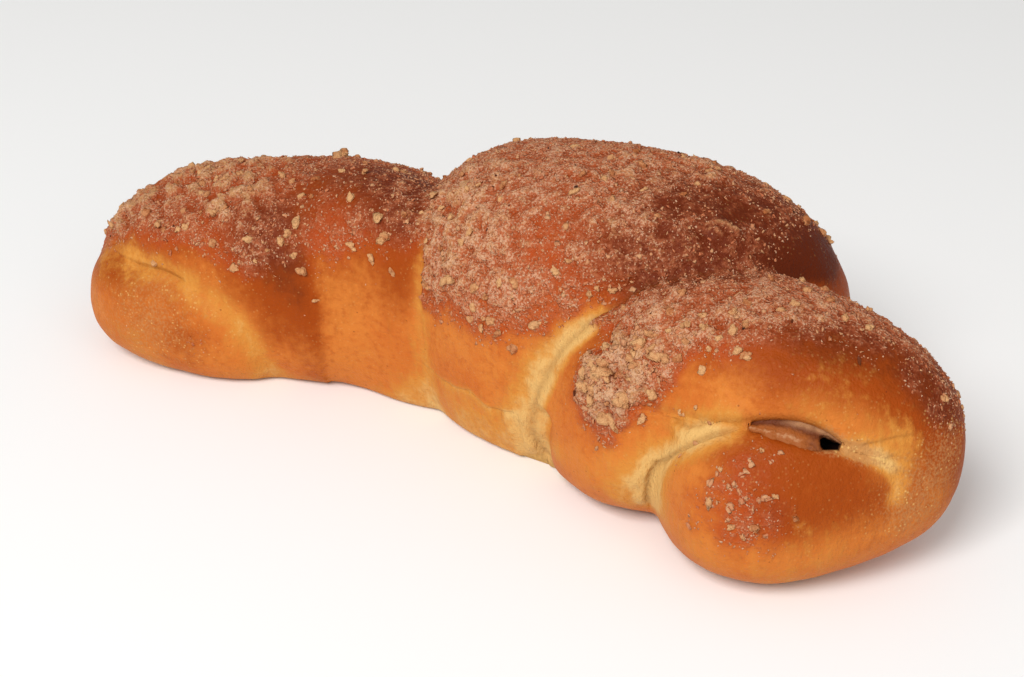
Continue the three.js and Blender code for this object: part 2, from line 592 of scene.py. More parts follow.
class Signal:
    """A shader socket that takes part in Python arithmetic."""

    def __init__(self, bench: "Bench", socket: bpy.types.NodeSocket) -> None:
        """Wraps a socket of a bench's material."""
        self.bench = bench
        self.socket = socket

    def _math(self, operation: str, first: "Signal | float", second: "Signal | float") -> "Signal":
        """Adds a Math node for two values."""
        node = self.bench.node("ShaderNodeMath", {"operation": operation}, {0: first, 1: second})
        return Signal(self.bench, node.outputs[0])

    def __add__(self, other: "Signal | float") -> "Signal":
        """Sum."""
        return self._math("ADD", self, other)

    __radd__ = __add__

    def __sub__(self, other: "Signal | float") -> "Signal":
        """Difference."""
        return self._math("SUBTRACT", self, other)

    def __rsub__(self, other: "Signal | float") -> "Signal":
        """Difference from a number."""
        return self._math("SUBTRACT", other, self)

    def __mul__(self, other: "Signal | float") -> "Signal":
        """Product."""
        return self._math("MULTIPLY", self, other)

    __rmul__ = __mul__


class Bench:
    """A material on the workbench, with the nodes that a finish needs."""

    def __init__(self, name: str) -> None:
        """Starts a material with one shader and its output.

        Args:
            name: Name of the material.
        """
        self.material = bpy.data.materials.new(name)
        self.material.use_nodes = True
        self.tree = self.material.node_tree
        self.tree.nodes.clear()
        self.shader = self.node("ShaderNodeBsdfPrincipled")
        self.node("ShaderNodeOutputMaterial", {}, {"Surface": self.shader.outputs[0]})

    def node(
        self, kind: str, settings: dict[str, object] | None = None, sockets: dict | None = None
    ) -> bpy.types.Node:
        """Adds a node.

        Args:
            kind: Type of the node.
            settings: Its own settings, set first.
            sockets: Values or links of its inputs, by name or number.

        Returns:
            The new node.
        """
        node = self.tree.nodes.new(kind)
        for name, value in (settings or {}).items():
            setattr(node, name, value)
        for key, value in (sockets or {}).items():
            self.feed(node.inputs[key], value)
        return node

    def feed(self, socket: bpy.types.NodeSocket, value: object) -> None:
        """Links a signal to an input, or sets its value.

        Args:
            socket: The input.
            value: A signal, a socket, a colour or a number.
        """
        if isinstance(value, Signal):
            value = value.socket
        if isinstance(value, bpy.types.NodeSocket):
            self.tree.links.new(value, socket)
        elif isinstance(value, tuple) and len(value) == 3 and socket.type == "RGBA":
            socket.default_value = (*value, 1.0)
        else:
            socket.default_value = value

    def set(self, **inputs: object) -> None:
        """Sets inputs of the shader, with _ for the blank in their names."""
        for name, value in inputs.items():
            self.feed(self.shader.inputs[name.replace("_", " ")], value)

    def place(self, stretch: Place = (1, 1, 1)) -> Signal:
        """Object coordinates.

        Args:
            stretch: Scale along each axis.

        Returns:
            The coordinates.
        """
        where = self.node("ShaderNodeTexCoord").outputs["Object"]
        mapping = self.node("ShaderNodeMapping", {}, {"Vector": where, "Scale": stretch})
        return Signal(self, mapping.outputs[0])

    def painted(self, name: str) -> Signal:
        """A number that is stored on the vertices."""
        return Signal(self, self.node("ShaderNodeAttribute", {"attribute_name": name}).outputs["Fac"])

    def lumps(
        self, size_mm: float, detail: float = 2.0, roughness: float = 0.5, place: Signal | None = None
    ) -> Signal:
        """Noise from 0 to 1.

        Args:
            size_mm: Size of one lump in millimetres.
            detail: How many finer layers it has.
            roughness: How strong they are.
            place: Coordinates, where they aren't the plain Object ones.

        Returns:
            The noise.
        """
        sockets = {
            "Vector": place or self.place(), "Scale": 1 / (size_mm * MM),
            "Detail": detail, "Roughness": roughness,
        }
        return Signal(self, self.node("ShaderNodeTexNoise", {}, sockets).outputs[0])

    def cells(self, size_mm: float) -> Signal:
        """Distance to the nearest of scattered points, in cells of a size."""
        sockets = {"Vector": self.place(), "Scale": 1 / (size_mm * MM)}
        return Signal(self, self.node("ShaderNodeTexVoronoi", {}, sockets).outputs["Distance"])

    def rise(self, value: Signal, low: float, high: float) -> Signal:
        """Smooth rise of a value.

        Args:
            value: The value.
            low: Where the rise starts, at 0.
            high: Where it ends, at 1.

        Returns:
            The rise.
        """
        sockets = {"Value": value, "From Min": low, "From Max": high}
        node = self.node("ShaderNodeMapRange", {"interpolation_type": "SMOOTHSTEP"}, sockets)
        return Signal(self, node.outputs[0])

    def mix(self, share: Signal | float, first: Signal | Colour, second: Signal | Colour) -> Signal:
        """Colour between two colours."""
        node = self.node("ShaderNodeMix", {"data_type": "RGBA"}, {0: share, 6: first, 7: second})
        return Signal(self, node.outputs[2])

    def bump(self, height: Signal, depth_mm: float) -> None:
        """Gives the shader a relief of a depth."""
        sockets = {"Height": height, "Distance": depth_mm * MM, "Strength": 1.0}
        self.feed(self.shader.inputs["Normal"], self.node("ShaderNodeBump", {}, sockets).outputs[0])


# Finishes


class Finish(Protocol):
    """What every finish can do."""

    def make(self) -> bpy.types.Material:
        """Builds the material."""


@dataclass(frozen=True)
class CrustFinish:
    """Baked crust: golden faces, brown tops, cream creases and a reddish ground under the sugar."""

    golden: Colour = shade(204, 119, 48)
    amber: Colour = shade(194, 103, 38)
    brown: Colour = shade(152, 64, 8)
    dark: Colour = shade(92, 32, 6)
    honey: Colour = shade(203, 133, 55)
    cream: Colour = shade(216, 170, 102)
    under_sugar: Colour = shade(168, 68, 24)
    under_dark: Colour = shade(106, 40, 16)
    salmon: Colour = shade(174, 97, 62)
    beige: Colour = shade(186, 135, 90)
    # white of the sugar specks, also used for their painted glints
    sugar_white_and_glint: Colour = shade(208, 166, 134)
    flour: Colour = shade(182, 128, 78)
    shadow: Colour = shade(112, 62, 24)
    # painted shadow inside the slit
    hollow_shadow: Colour = shade(26, 11, 8)

    def make(self) -> bpy.types.Material:
        """Builds the material.

        Returns:
            The new material.
        """
        bench = Bench("baked_crust")
        cloud, patch, mottle = bench.lumps(9.0, 3.0), bench.lumps(3.1, 3.0), bench.lumps(1.3, 3.0, 0.6)
        grain, dust = bench.lumps(0.7, 2.0), bench.lumps(0.4, 1.0)
        streaks = bench.lumps(1.0, 2.0, 0.5, bench.place((1.0, 1.0, 0.2)))
        colour = self.baked(bench, cloud, patch, mottle, streaks)
        colour, frosted = self.sugared(bench, colour, mottle, grain, dust)
        powdered = bench.rise(bench.painted("floury") + 1.1 * (dust - 0.5), 0.3, 0.9)
        colour = bench.mix(powdered * 0.7, colour, self.flour)
        dusty = 0.16 + bench.painted("floury")
        specks = bench.rise(bench.cells(0.8), 0.3, 0.12) * bench.rise(patch, 0.42, 0.62) * dusty
        colour = bench.mix(specks, colour, self.cream)
        pores = bench.rise(bench.cells(3.1), 0.07, 0.03) * 0.5
        colour = bench.mix(pores, colour, self.dark)
        # painted shade: the fold lines, the seam before the right arm and the slit's upper lip darken towards
        # the shadow colour
        colour = bench.mix(bench.painted("crease") * 0.8, colour, self.shadow)
        # painted shadow: the inside of the slit goes near black, most at its open end
        colour = bench.mix(bench.painted("deep"), colour, self.hollow_shadow)
        bench.set(Base_Color=colour, Roughness=0.5 + 0.2 * frosted + 0.1 * powdered)
        bench.set(Specular_IOR_Level=0.09)
        wrinkles = bench.lumps(1.1, 3.0, 0.6, bench.place((1.0, 1.0, 0.35)))
        skin = 0.4 * dust + 0.5 * mottle + 0.4 * streaks + wrinkles * bench.painted("pale") * 1.8
        bench.bump(skin + (0.8 * grain + frosted) * bench.painted("coat"), 0.35)
        return bench.material

    def baked(self, bench: Bench, cloud: Signal, patch: Signal, mottle: Signal, streaks: Signal) -> Signal:
        """Colour of the bare crust.

        Args:
            bench: The material.
            cloud: Broad noise.
            patch: Noise of a few millimetres.
            mottle: Noise of a millimetre.
            streaks: Noise drawn out upwards.

        Returns:
            The colour.
        """
        colour = bench.mix(bench.rise(cloud + 0.4 * (mottle - 0.5), 0.3, 0.7), self.golden, self.amber)
        colour = bench.mix(bench.rise(mottle, 0.5, 0.75) * 0.25, colour, self.brown)
        colour = bench.mix(bench.rise(streaks, 0.52, 0.8) * 0.2, colour, self.honey)
        browned = bench.painted("brown") + 0.3 * (cloud - 0.5) + 0.25 * (patch - 0.5)
        browned = browned + 0.25 * (streaks - 0.5) + 0.35 * (mottle - 0.5)
        colour = bench.mix(bench.rise(browned, 0.15, 0.95), colour, self.brown)
        colour = bench.mix(bench.rise(browned, 0.95, 1.7), colour, self.dark)
        paled = bench.painted("pale") + 0.25 * (patch - 0.5) + 0.3 * (streaks - 0.5) + 0.5 * (mottle - 0.5)
        colour = bench.mix(bench.rise(paled, 0.1, 0.55), colour, self.honey)
        return bench.mix(bench.rise(paled, 0.45, 0.95), colour, self.cream)

    def sugared(
        self, bench: Bench, colour: Signal, mottle: Signal, grain: Signal, dust: Signal
    ) -> tuple[Signal, Signal]:
        """Lays the film of melted sugar and nut meal over the crust.

        Args:
            bench: The material.
            colour: Colour of the bare crust.
            mottle: Noise of a millimetre.
            grain: Noise of the size of the grains.
            dust: Noise finer than the grains.

        Returns:
            The colour, and how much of the place is covered.
        """
        coat, heap, meal = (bench.painted(name) for name in ("coat", "heap", "meal"))
        lump = bench.lumps(1.7, 2.0, 0.5)
        ground = bench.mix(bench.rise(bench.painted("brown"), 0.75, 1.4), self.under_sugar, self.under_dark)
        colour = bench.mix(bench.rise(coat, 0.02, 0.55) * 0.85, colour, ground)
        thick = coat * (0.5 + 0.55 * heap) + 0.35 * (dust - 0.5) + 0.25 * meal
        frosted = bench.rise(thick + 0.9 * (mottle - 0.5) + 0.8 * (grain - 0.5), 0.15, 0.9)
        colour = bench.mix(frosted * 0.8, colour, self.salmon)
        mealy = bench.rise(thick + 0.6 * meal + 1.6 * (lump - 0.5) + 0.8 * (grain - 0.5), 0.75, 1.5)
        colour = bench.mix(mealy * (0.5 + 0.4 * meal), colour, self.beige)
        # white specks of sugar, which also stand in for painted glints of light on it
        glints = bench.rise(dust + 0.4 * (thick - 0.5), 0.55, 0.85) * bench.rise(coat, 0.15, 0.6)
        return bench.mix(glints * 0.65, colour, self.sugar_white_and_glint), frosted


@dataclass(frozen=True)
class FillingFinish:
    """Moist ground nuts: reddish brown, with painted shade making them purplish brown under the upper lip,
    and a pale streak.
    """

    # painted shade: the colour of the face under the slit's upper lip
    ground: Colour = shade(102, 50, 25)
    rosy: Colour = shade(154, 84, 36)
    pale_bits: Colour = shade(190, 140, 100)
    crumb: Colour = shade(176, 126, 86)
    hollow_shadow: Colour = shade(14, 7, 6)

    def make(self) -> bpy.types.Material:
        """Builds the material.

        Returns:
            The new material.
        """
        bench = Bench("nut_filling")
        mealy = bench.lumps(2.4, 3.0, 0.6, bench.place((0.4, 0.6, 1.2)))
        fine = bench.lumps(0.5, 2.0)
        # painted light and shade: lit towards the lower lip, darker under the upper lip and towards the hole
        lit = bench.painted("lower") + 0.9 * (mealy - 0.5) + 0.5 * (fine - 0.5)
        colour = bench.mix(bench.rise(lit, 0.1, 0.75), self.ground, self.rosy)
        streak = bench.rise(bench.painted("streak") + 1.8 * (mealy - 0.5) + 1.2 * (fine - 0.5), 0.45, 1.1)
        colour = bench.mix(streak * 0.7, colour, self.pale_bits)
        colour = bench.mix(bench.painted("lip") * 0.9, colour, self.crumb)
        # painted shadow: near black deep in the hole
        colour = bench.mix(bench.painted("deep"), colour, self.hollow_shadow)
        bench.set(Base_Color=colour, Roughness=0.55, Specular_IOR_Level=0.15)
        bench.bump(mealy + 0.5 * fine, 0.4)
        return bench.material


@dataclass(frozen=True)
class NutFinish:
    """Chopped nut kernel: beige to pale yellow, a little toasted at the edges."""

    pale: Colour = shade(206, 155, 106)
    beige: Colour = shade(190, 128, 84)
    toasted: Colour = shade(166, 96, 54)

    def make(self) -> bpy.types.Material:
        """Builds the material.

        Returns:
            The new material.
        """
        bench = Bench("chopped_nut")
        tint = bench.painted("tint")
        toast = bench.lumps(1.2, 3.0)
        mottle = bench.lumps(0.7, 2.0)
        colour = bench.mix(bench.rise(tint + 1.2 * (mottle - 0.5), 0.1, 0.9), self.pale, self.beige)
        colour = bench.mix(bench.rise(toast + 0.3 * tint, 0.6, 0.95), colour, self.toasted)
        bench.set(Base_Color=colour, Roughness=0.6, Specular_IOR_Level=0.1)
        bench.bump(mottle + 0.6 * bench.lumps(0.35, 2.0), 0.34)
        return bench.material


@dataclass(frozen=True)
class GrainFinish:
    """Crumbs, sugar or flecks of nut skin, each grain with its own shade between two colours."""

    name: str
    first: Colour
    second: Colour
    roughness: float
    specular: float
    mottled: bool = False

    def make(self) -> bpy.types.Material:
        """Builds the material.

        Returns:
            The new material.
        """
        bench = Bench(self.name)
        share = bench.painted("tint")
        if self.mottled:
            share = bench.rise(share + 0.8 * (bench.lumps(0.6, 2.0) - 0.5), 0.1, 0.9)
            bench.bump(bench.lumps(0.35, 2.0), 0.15)
        colour = bench.mix(share, self.first, self.second)
        bench.set(Base_Color=colour, Roughness=self.roughness, Specular_IOR_Level=self.specular)
        return bench.material


@dataclass(frozen=True)
class FloorFinish:
    """Plain white studio floor."""

    white: Colour = (0.94, 0.94, 0.935)
    pale_grey: Colour = (0.92, 0.92, 0.915)

    def make(self) -> bpy.types.Material:
        """Builds the material.

        Returns:
            The new material.
        """
        bench = Bench("studio_floor")
        soft = bench.lumps(400.0, 1.0)
        colour = bench.mix(soft * 0.1, self.white, self.pale_grey)
        bench.set(Base_Color=colour, Roughness=0.9, Specular_IOR_Level=0.1)
        return bench.material


# The roll's colours and coat, worked out over its form


@dataclass(frozen=True)
class Spot:
    """A round place on the roll where the crust is browner, paler or more thickly strewn."""

    at: Place
    radius: float
    amount: float

    def over(self, points: Points) -> Values:
        """How strongly each place is touched."""
        away = np.linalg.norm(points - np.array(self.at), axis=1)
        return self.amount * np.exp(-((away / self.radius) ** 2))


def spots(*rows: tuple[float, float, float, float, float]) -> tuple[Spot, ...]:
    """Spots from rows of a place, a radius and an amount."""
    return tuple(Spot((x, y, z), radius, amount) for x, y, z, radius, amount in rows)


def total(several: tuple[Spot, ...], points: Points) -> Values:
    """Sum of several spots."""
    return sum((spot.over(points) for spot in several), np.zeros(len(points)))


@dataclass(frozen=True)
class Tint:
    """A colour along a fold: how strong it is and how far it reaches on the fold's two sides."""

    amount: float
    left: float
    right: float


@dataclass(frozen=True)
class Trace:
    """How places lie beside a fold: its strength there, and the distance across it, above 0 on its right."""

    fade: Values
    across: Values

    def line(self, width: float) -> Values:
        """How close places are to the fold's line."""
        return self.fade * np.exp(-((self.across / width) ** 2))

    def step(self, width: float, edge: float) -> Values:
        """How far places lie below the fold's step, which falls off to its right."""
        return self.fade * smooth_step(-edge, edge, self.across) * np.exp(-np.maximum(self.across, 0) / width)

    def tinted(self, tint: Tint | None) -> Values:
        """How strongly places take on a colour of the fold.

        Args:
            tint: The colour, if the fold has one.

        Returns:
            0 where they don't.
        """
        if tint is None:
            return np.zeros(len(self.across))
        width = np.where(self.across < 0, tint.left, tint.right)
        return tint.amount * self.fade * np.exp(-((self.across / width) ** 2))


@dataclass(frozen=True)
class Fold:
    """A fold that runs over the dough, in millimetres, with the colours that it has.

    depth and width are those of a broad groove, or of a ridge if the depth is below 0, crease is the
    depth of a narrow line, and step is how far the dough on the right lies under the layer on the left,
    which it comes level with over the step's width. The fold dies away at its ends.
    """

    route: tuple[Place, ...]
    depth: float = 0.0
    width: float = 2.0
    crease: float = 0.0
    step: float = 0.0
    step_width: float = 4.0
    step_edge: float = 0.4
    pale: Tint | None = None
    brown: Tint | None = None
    end_share: float = 0.15

    @property
    def is_sharp(self) -> bool:
        """Whether the fold has a narrow line or a steep step."""
        return self.crease > 0 or (self.step > 0 and self.step_edge < 1)

    def trace(self, points: Points, normals: Points) -> Trace:
        """Finds how places lie beside the fold.

        Args:
            points: Places in millimetres.
            normals: Directions straight out of the dough there.

        Returns:
            The fold's strength there, and the distance across it.
        """
        route = np.array(self.route, float)
        lengths = np.linalg.norm(np.diff(route, axis=0), axis=1)
        away = np.full(len(points), np.inf)
        gone, across = np.zeros(len(points)), np.zeros(len(points))
        for number, (start, length) in enumerate(zip(route, lengths)):
            heading = (route[number + 1] - start) / length
            along = np.clip((points - start) @ heading, 0, length)
            beside = points - start - along[:, None] * heading
            here = np.linalg.norm(beside, axis=1)
            nearer = here < away
            side = np.einsum("ij,ij->i", beside, np.cross(heading, normals))
            across = np.where(nearer, np.copysign(here, side), across)
            gone = np.where(nearer, (lengths[:number].sum() + along) / lengths.sum(), gone)
            away = np.minimum(here, away)
        return Trace(smooth_step(0.0, self.end_share, np.minimum(gone, 1 - gone)), across)


Traces = list[tuple[Fold, Trace]]


@dataclass(frozen=True)
class Folds:
    """The folds of the roll's skin beside the seams of its wraps."""

    crease_width: float = 0.4
    tuck_fold: Fold = Fold(
        (
            (-72, -22, 20.8), (-65, -23.8, 21.5), (-59.6, -23.7, 21.7), (-54.4, -23.6, 20.9),
            (-48.8, -23.3, 18.6), (-43.8, -22.3, 15.1), (-41.5, -21.4, 10), (-39.8, -18.8, 3),
            (-38.5, -16, -5),
        ),
        depth=0.9, width=2.6, pale=Tint(0.44, 3.0, 4.2),
    )
    tuck_edge: Fold = Fold(
        ((-73, -21.5, 20.6), (-65, -23.8, 21.5), (-59.6, -23.7, 21.7), (-53.5, -23.6, 20.6)),
        crease=0.3, step=0.7, step_width=3.0,
    )
    tuck_lip: Fold = Fold(
        ((-72, -19.5, 24), (-64, -21.5, 25), (-56, -22, 23.5), (-48, -21.5, 19.5)), depth=-0.6, width=2.6,
    )
    arm_edge: Fold = Fold(
        (
            (-31.5, -12, -4), (-30.5, -15, 4), (-29.9, -16.5, 9.5), (-30.3, -17, 14), (-31.1, -17.3, 19),
            (-32.1, -17.2, 24), (-33, -16.6, 28), (-34.5, -14.6, 31.5),
        ),
        depth=-0.6, width=3.4, step=0.6, step_width=5.0, step_edge=1.6,
        brown=Tint(0.55, 6.0, 2.0),
    )
    flap_edge: Fold = Fold(
        (
            (-11, -12, 11.5), (-6.1, -13.5, 11), (-1.7, -15.1, 11.3), (2.1, -16.1, 12.2),
            (5.9, -16.4, 10.4), (14, -17, 12),
        ),
        crease=0.1, step=0.35, step_width=3.0, pale=Tint(0.3, 0.6, 1.4), brown=Tint(0.25, 3.0, 0.4),
    )
    valley_foot: Fold = Fold(
        ((18.5, -18.5, 16), (17.5, -18, 9), (16, -16, 2), (14, -12, -4)), depth=2.0, width=2.6,
    )
    mouth_crease: Fold = Fold(
        (
            (40, -20.5, 3), (40.7, -23.3, 8.9), (41.4, -24.3, 12.9), (42.5, -24.5, 16.5), (45.5, -25.7, 20.4),
            (49.1, -26.3, 24.1), (52.4, -25.2, 26.4), (54.5, -24.3, 27.3), (58.5, -22.2, 28.8),
        ),
        depth=0.4, width=2.2, crease=0.45, step=0.4, step_width=3.0, pale=Tint(0.62, 2.4, 3.2),
    )
    mouth_flap: Fold = Fold(
        ((44.5, -23.8, 23), (50, -24.4, 26.8), (54, -23.7, 28.7), (58, -22.3, 30)),
        depth=-0.7, width=2.0, pale=Tint(0.22, 3.0, 3.0),
    )
    flap_wrinkle: Fold = Fold(
        ((44.5, -23.5, 25.4), (48, -24.2, 25.6), (51, -24, 27.2)),
        crease=0.35, depth=0.25, width=1.0,
    )
    lip_crease: Fold = Fold(
        ((73.2, -16.6, 26.5), (75.6, -14.6, 26.9), (77.7, -12.4, 27.3), (80.2, -9.8, 27.2)),
        crease=0.18, step=0.3, step_width=2.5, pale=Tint(0.2, 2.4, 3.4),
    )
    lip_line: Fold = Fold(
        (
            (69.5, -18.6, 25.8), (73.9, -16.6, 25.4), (76.2, -15.4, 24.2), (78, -14.3, 22.6),
            (79.2, -14.1, 20.1), (79, -15.4, 15),
        ),
        depth=0.4, width=1.6, pale=Tint(0.5, 2.4, 1.0),
    )
    lip_fan: Fold = Fold(
        ((77, -14.4, 24.6), (79.6, -11.8, 23.6), (81.6, -9.4, 22.4)),
        crease=0.2, depth=0.2, width=1.0,
    )
    end_fan: Fold = Fold(
        ((78.5, -13.6, 22.4), (80.6, -11.6, 21), (82.2, -9.4, 19)),
        crease=0.15, depth=0.2, width=1.0,
    )

    @property
    def every(self) -> tuple[Fold, ...]:
        """All folds."""
        return tuple(value for value in vars(self).values() if isinstance(value, Fold))

    def near(self, points: Points, normals: Points, reach: float) -> Values:
        """Which places lie within reach of a narrow line or a step."""
        sharp = [fold.trace(points, normals).across for fold in self.every if fold.is_sharp]
        return np.abs(np.stack(sharp)).min(axis=0) < reach

    def traces(self, points: Points, normals: Points) -> Traces:
        """Every fold, with how places lie beside it."""
        return [(fold, fold.trace(points, normals)) for fold in self.every]

    def depth(self, traces: Traces) -> Values:
        """How deep the folds press into the dough.

        Args:
            traces: Every fold, with how places lie beside it.

        Returns:
            Depths in millimetres.
        """
        return sum(
            fold.depth * trace.line(fold.width) + fold.crease * trace.line(self.crease_width)
            + fold.step * trace.step(fold.step_width, fold.step_edge)
            for fold, trace in traces
        )

    def crease(self, traces: Traces) -> Values:
        """How strongly places lie in the narrow lines of the folds, where the crust takes painted shade."""
        return sum(min(fold.crease, 1.0) * trace.line(self.crease_width) for fold, trace in traces)

    def pale(self, traces: Traces) -> Values:
        """How much paler the folds make the crust."""
        return sum(trace.tinted(fold.pale) for fold, trace in traces)

    def brown(self, traces: Traces) -> Values:
        """How much browner the folds make the crust."""
        return sum(trace.tinted(fold.brown) for fold, trace in traces)


@dataclass(frozen=True)
class CoatEdge:
    """The coat's front edge on one part: how far back and up it lies at some places along the roll."""

    part: Part
    along: tuple[float, ...]
    heights: tuple[float, ...]


@dataclass(frozen=True)
class Baking:
    """Where the oven browned the crust, where the creases stayed pale, where shade is painted and where the
    coat lies.

    A row of spots is a place, its radius and its amount. strewn adds to the coat, thin takes from it,
    mealed gathers nut meal on it, and the other spots colour the crust.
    """

    folds: Folds = Folds()
    back_and_up: tuple[float, float] = (0.6, 0.8)
    coat_edges: tuple[CoatEdge, ...] = (
        CoatEdge(Part.LEFT, (-78, -64, -50, -40, -28, -15, -11), (5, 8, 10, 9, 15, 20, 24)),
        CoatEdge(Part.MIDDLE, (-10, 3, 13, 20, 26, 32), (12, 12, 13, 17, 22, 24)),
        CoatEdge(Part.RIGHT, (26, 34, 42, 47, 55, 63, 73, 82), (5, 2, 8, 18, 23, 28, 27, 22)),
    )
    browned: tuple[Spot, ...] = spots(
        (61, -15, 39, 9, 0.3), (70, -10, 37.5, 9, 0.45), (80, -6, 31, 8, 0.4), (84, -5, 20, 10, 0.7),
        (50, 18, 42, 10, 0.75), (36, 5, 47, 12, 0.45), (32, 4.5, 48, 6, 0.35), (61, -29, 21, 7, 0.35),
        (70.5, -23.5, 20, 8, 0.5), (74, -20, 18, 6, 0.3), (67.5, -27, 17, 5, 0.3),
        (-52, -26, 9.5, 5, 0.45), (-62, -27, 12, 9, 0.25), (-72, -24, 14, 8, 0.3),
        (-14, -13, 27, 6, 0.55), (-60, -18, 27, 8, 0.2), (-44, -20, 24, 8, 0.45),
        (-24, -15, 21, 12, 0.34), (-35.5, -18.5, 22, 7, 0.45), (-58, -27, 8, 10, 0.15),
        (-22, 0, 39, 9, 0.5), (-36, 0, 37, 10, 0.25), (-40, -16, 31.5, 7, 0.5),
        (-17, -9, 36.5, 7, 0.45), (27, -9, 43, 8, 0.25), (35, -4, 45, 8, 0.35), (44, 3, 44, 7, 0.35),
        (45, 13, 44.5, 7, 0.5), (33, -8, 43, 3.5, 0.35), (38, -5.5, 42.8, 3.5, 0.45),
        (43, -1.5, 42.5, 3.5, 0.4), (53.5, 16, 35.5, 7, 0.5), (78, -16.5, 16.5, 6, 0.35),
        (82, -4, 29, 7, 0.35), (-38, -19.5, 12, 5, 0.45), (64.8, -29, 17, 5, 0.3),
    )
    paled: tuple[Spot, ...] = spots(
        (78, -12, 25, 6, 0.3), (41, -24, 16, 5, 0.3), (46, -24, 24, 6, 0.25), (52, -23.5, 28, 5, 0.1),
        (66, -19, 31, 5, 0.15), (68, -14, 33, 7, 0.2), (0, -15, 6, 8, 0.25), (72, -26, 7, 10, 0.3),
        (54, -29, 10, 6, 0.25), (-73.5, -20, 22, 6.5, 0.5), (-12.7, -10.7, 3.5, 6, 0.45),
        (43.4, -24.9, 10, 4.5, 0.6), (36.8, -24.8, 9.5, 6, 0.45), (22.6, -20.9, 10, 4, 0.35),
        (2.2, -14.6, 4.5, 6, 0.35), (-66, -28, 7.6, 7, 0.25),
    )
    strewn: tuple[Spot, ...] = spots(
        (60, -30, 20, 7, 0.42), (57, -30.5, 16, 5, 0.2), (63, -29.5, 15, 5, 0.35),
        (60, -27, 25, 4, 0.25), (30, -21.5, 27, 5, 0.6), (32.5, -23.3, 24.5, 3.8, 0.6),
        (35, -24, 23, 3.0, 0.3), (-2, -8, 38, 12, 0.15), (4, -14, 31, 8, 0.1), (-50, -26, 10, 4, 0.2),
        (84.5, -4, 26, 4, 0.25), (59, -12, 40.6, 5, 0.2),
    )
    thin: tuple[Spot, ...] = spots(
        (-70, -10, 28, 10, 0.3), (-28, -2, 37, 12, 0.4), (-50, -6, 34, 16, 0.2), (-33, -5, 38, 8, 0.2),
        (32, 4.5, 48, 6, 0.35), (-51, -12.5, 33.5, 6, 0.15), (41, 7, 47, 11, 0.36),
        (-37, -15.5, 31.5, 7, 0.42), (-17.5, -9.5, 36, 7, 0.48), (15, -11.6, 42, 4.5, 0.42),
        (17.5, -13.5, 39, 5, 0.2), (28, -8, 44, 7, 0.2), (37, -2, 45.5, 7, 0.22), (78, -6, 34, 4, 0.25),
        (45, 13, 44.5, 7, 0.3), (55, 15, 33, 8, 0.8),
    )
    floured: tuple[Spot, ...] = spots(
        (81, -12, 15, 8, 0.6), (73.5, -16, 26, 3, 0.5), (84, -5, 24, 7, 0.5), (-60, -27, 12, 14, 0.55),
    )
    mealed: tuple[Spot, ...] = spots(
        (-66, -8, 31.5, 8, 1.5), (-73, -16, 25, 6, 1.1), (-52, -4, 35.5, 7, 0.7),
        (-55, -12, 33, 6, 0.5), (-49, -13, 33, 5, 1.0), (-41, -17, 31, 4, 0.2), (-48, -4, 36, 7, 0.5),
        (-20, -8, 37, 6, 0.1), (3, -8, 43, 11, 0.2), (-7, -3, 42.5, 9, 0.9), (32, 14.5, 48.8, 6, 0.6),
        (-5, -12, 33, 8, 0.5), (12, -14, 37, 8, 0.2), (24, -9, 44, 8, 0.4), (28, -10, 42, 5, 0.1),
        (20, 8, 49, 12, 0.4), (38, 0, 46.5, 5, 0.7), (43, 3, 44.5, 5, 0.8), (40, 13, 46.5, 6, 0.2),
        (30, -20, 30, 5, 1.2), (33, -22.5, 26.5, 5.5, 1.3), (38, -21, 31.5, 5, 0.8),
        (46, -18.5, 37.5, 6, 0.15), (52, -16, 40, 6, 0.6), (38, -15, 39, 6, 0.4), (62, -8, 41, 8, 0.3),
    )
    heap_sizes: tuple[float, float] = (1.9, 1.05)
    mound_size: float = 3.0
    valley_heights: tuple[float, ...] = (4, 22, 36)
    valley_reaches: tuple[float, ...] = (3.4, 2.8, 2.0)
    arm_rim: float = 1.7
    left_seam_pale: float = 0.45
    foot_pale: float = 0.3
    top_brown: float = 0.6
    coat_edge_brown: float = 0.3
    # painted shade on the middle wrap's wall above the right arm
    upper_wall_shade: float = 0.45
    upper_wall_bare: float = 0.35
    valley_shade: float = 0.4
    lip_shade: float = 0.55
    lip_flour: float = 0.8
    thickest: float = 1.2


def seam(first: Values, second: Values, width: float) -> Values:
    """How close places are to the seam between two forms, from their distances to both."""
    return np.exp(-((np.abs(first) + np.abs(second)) / width) ** 2)


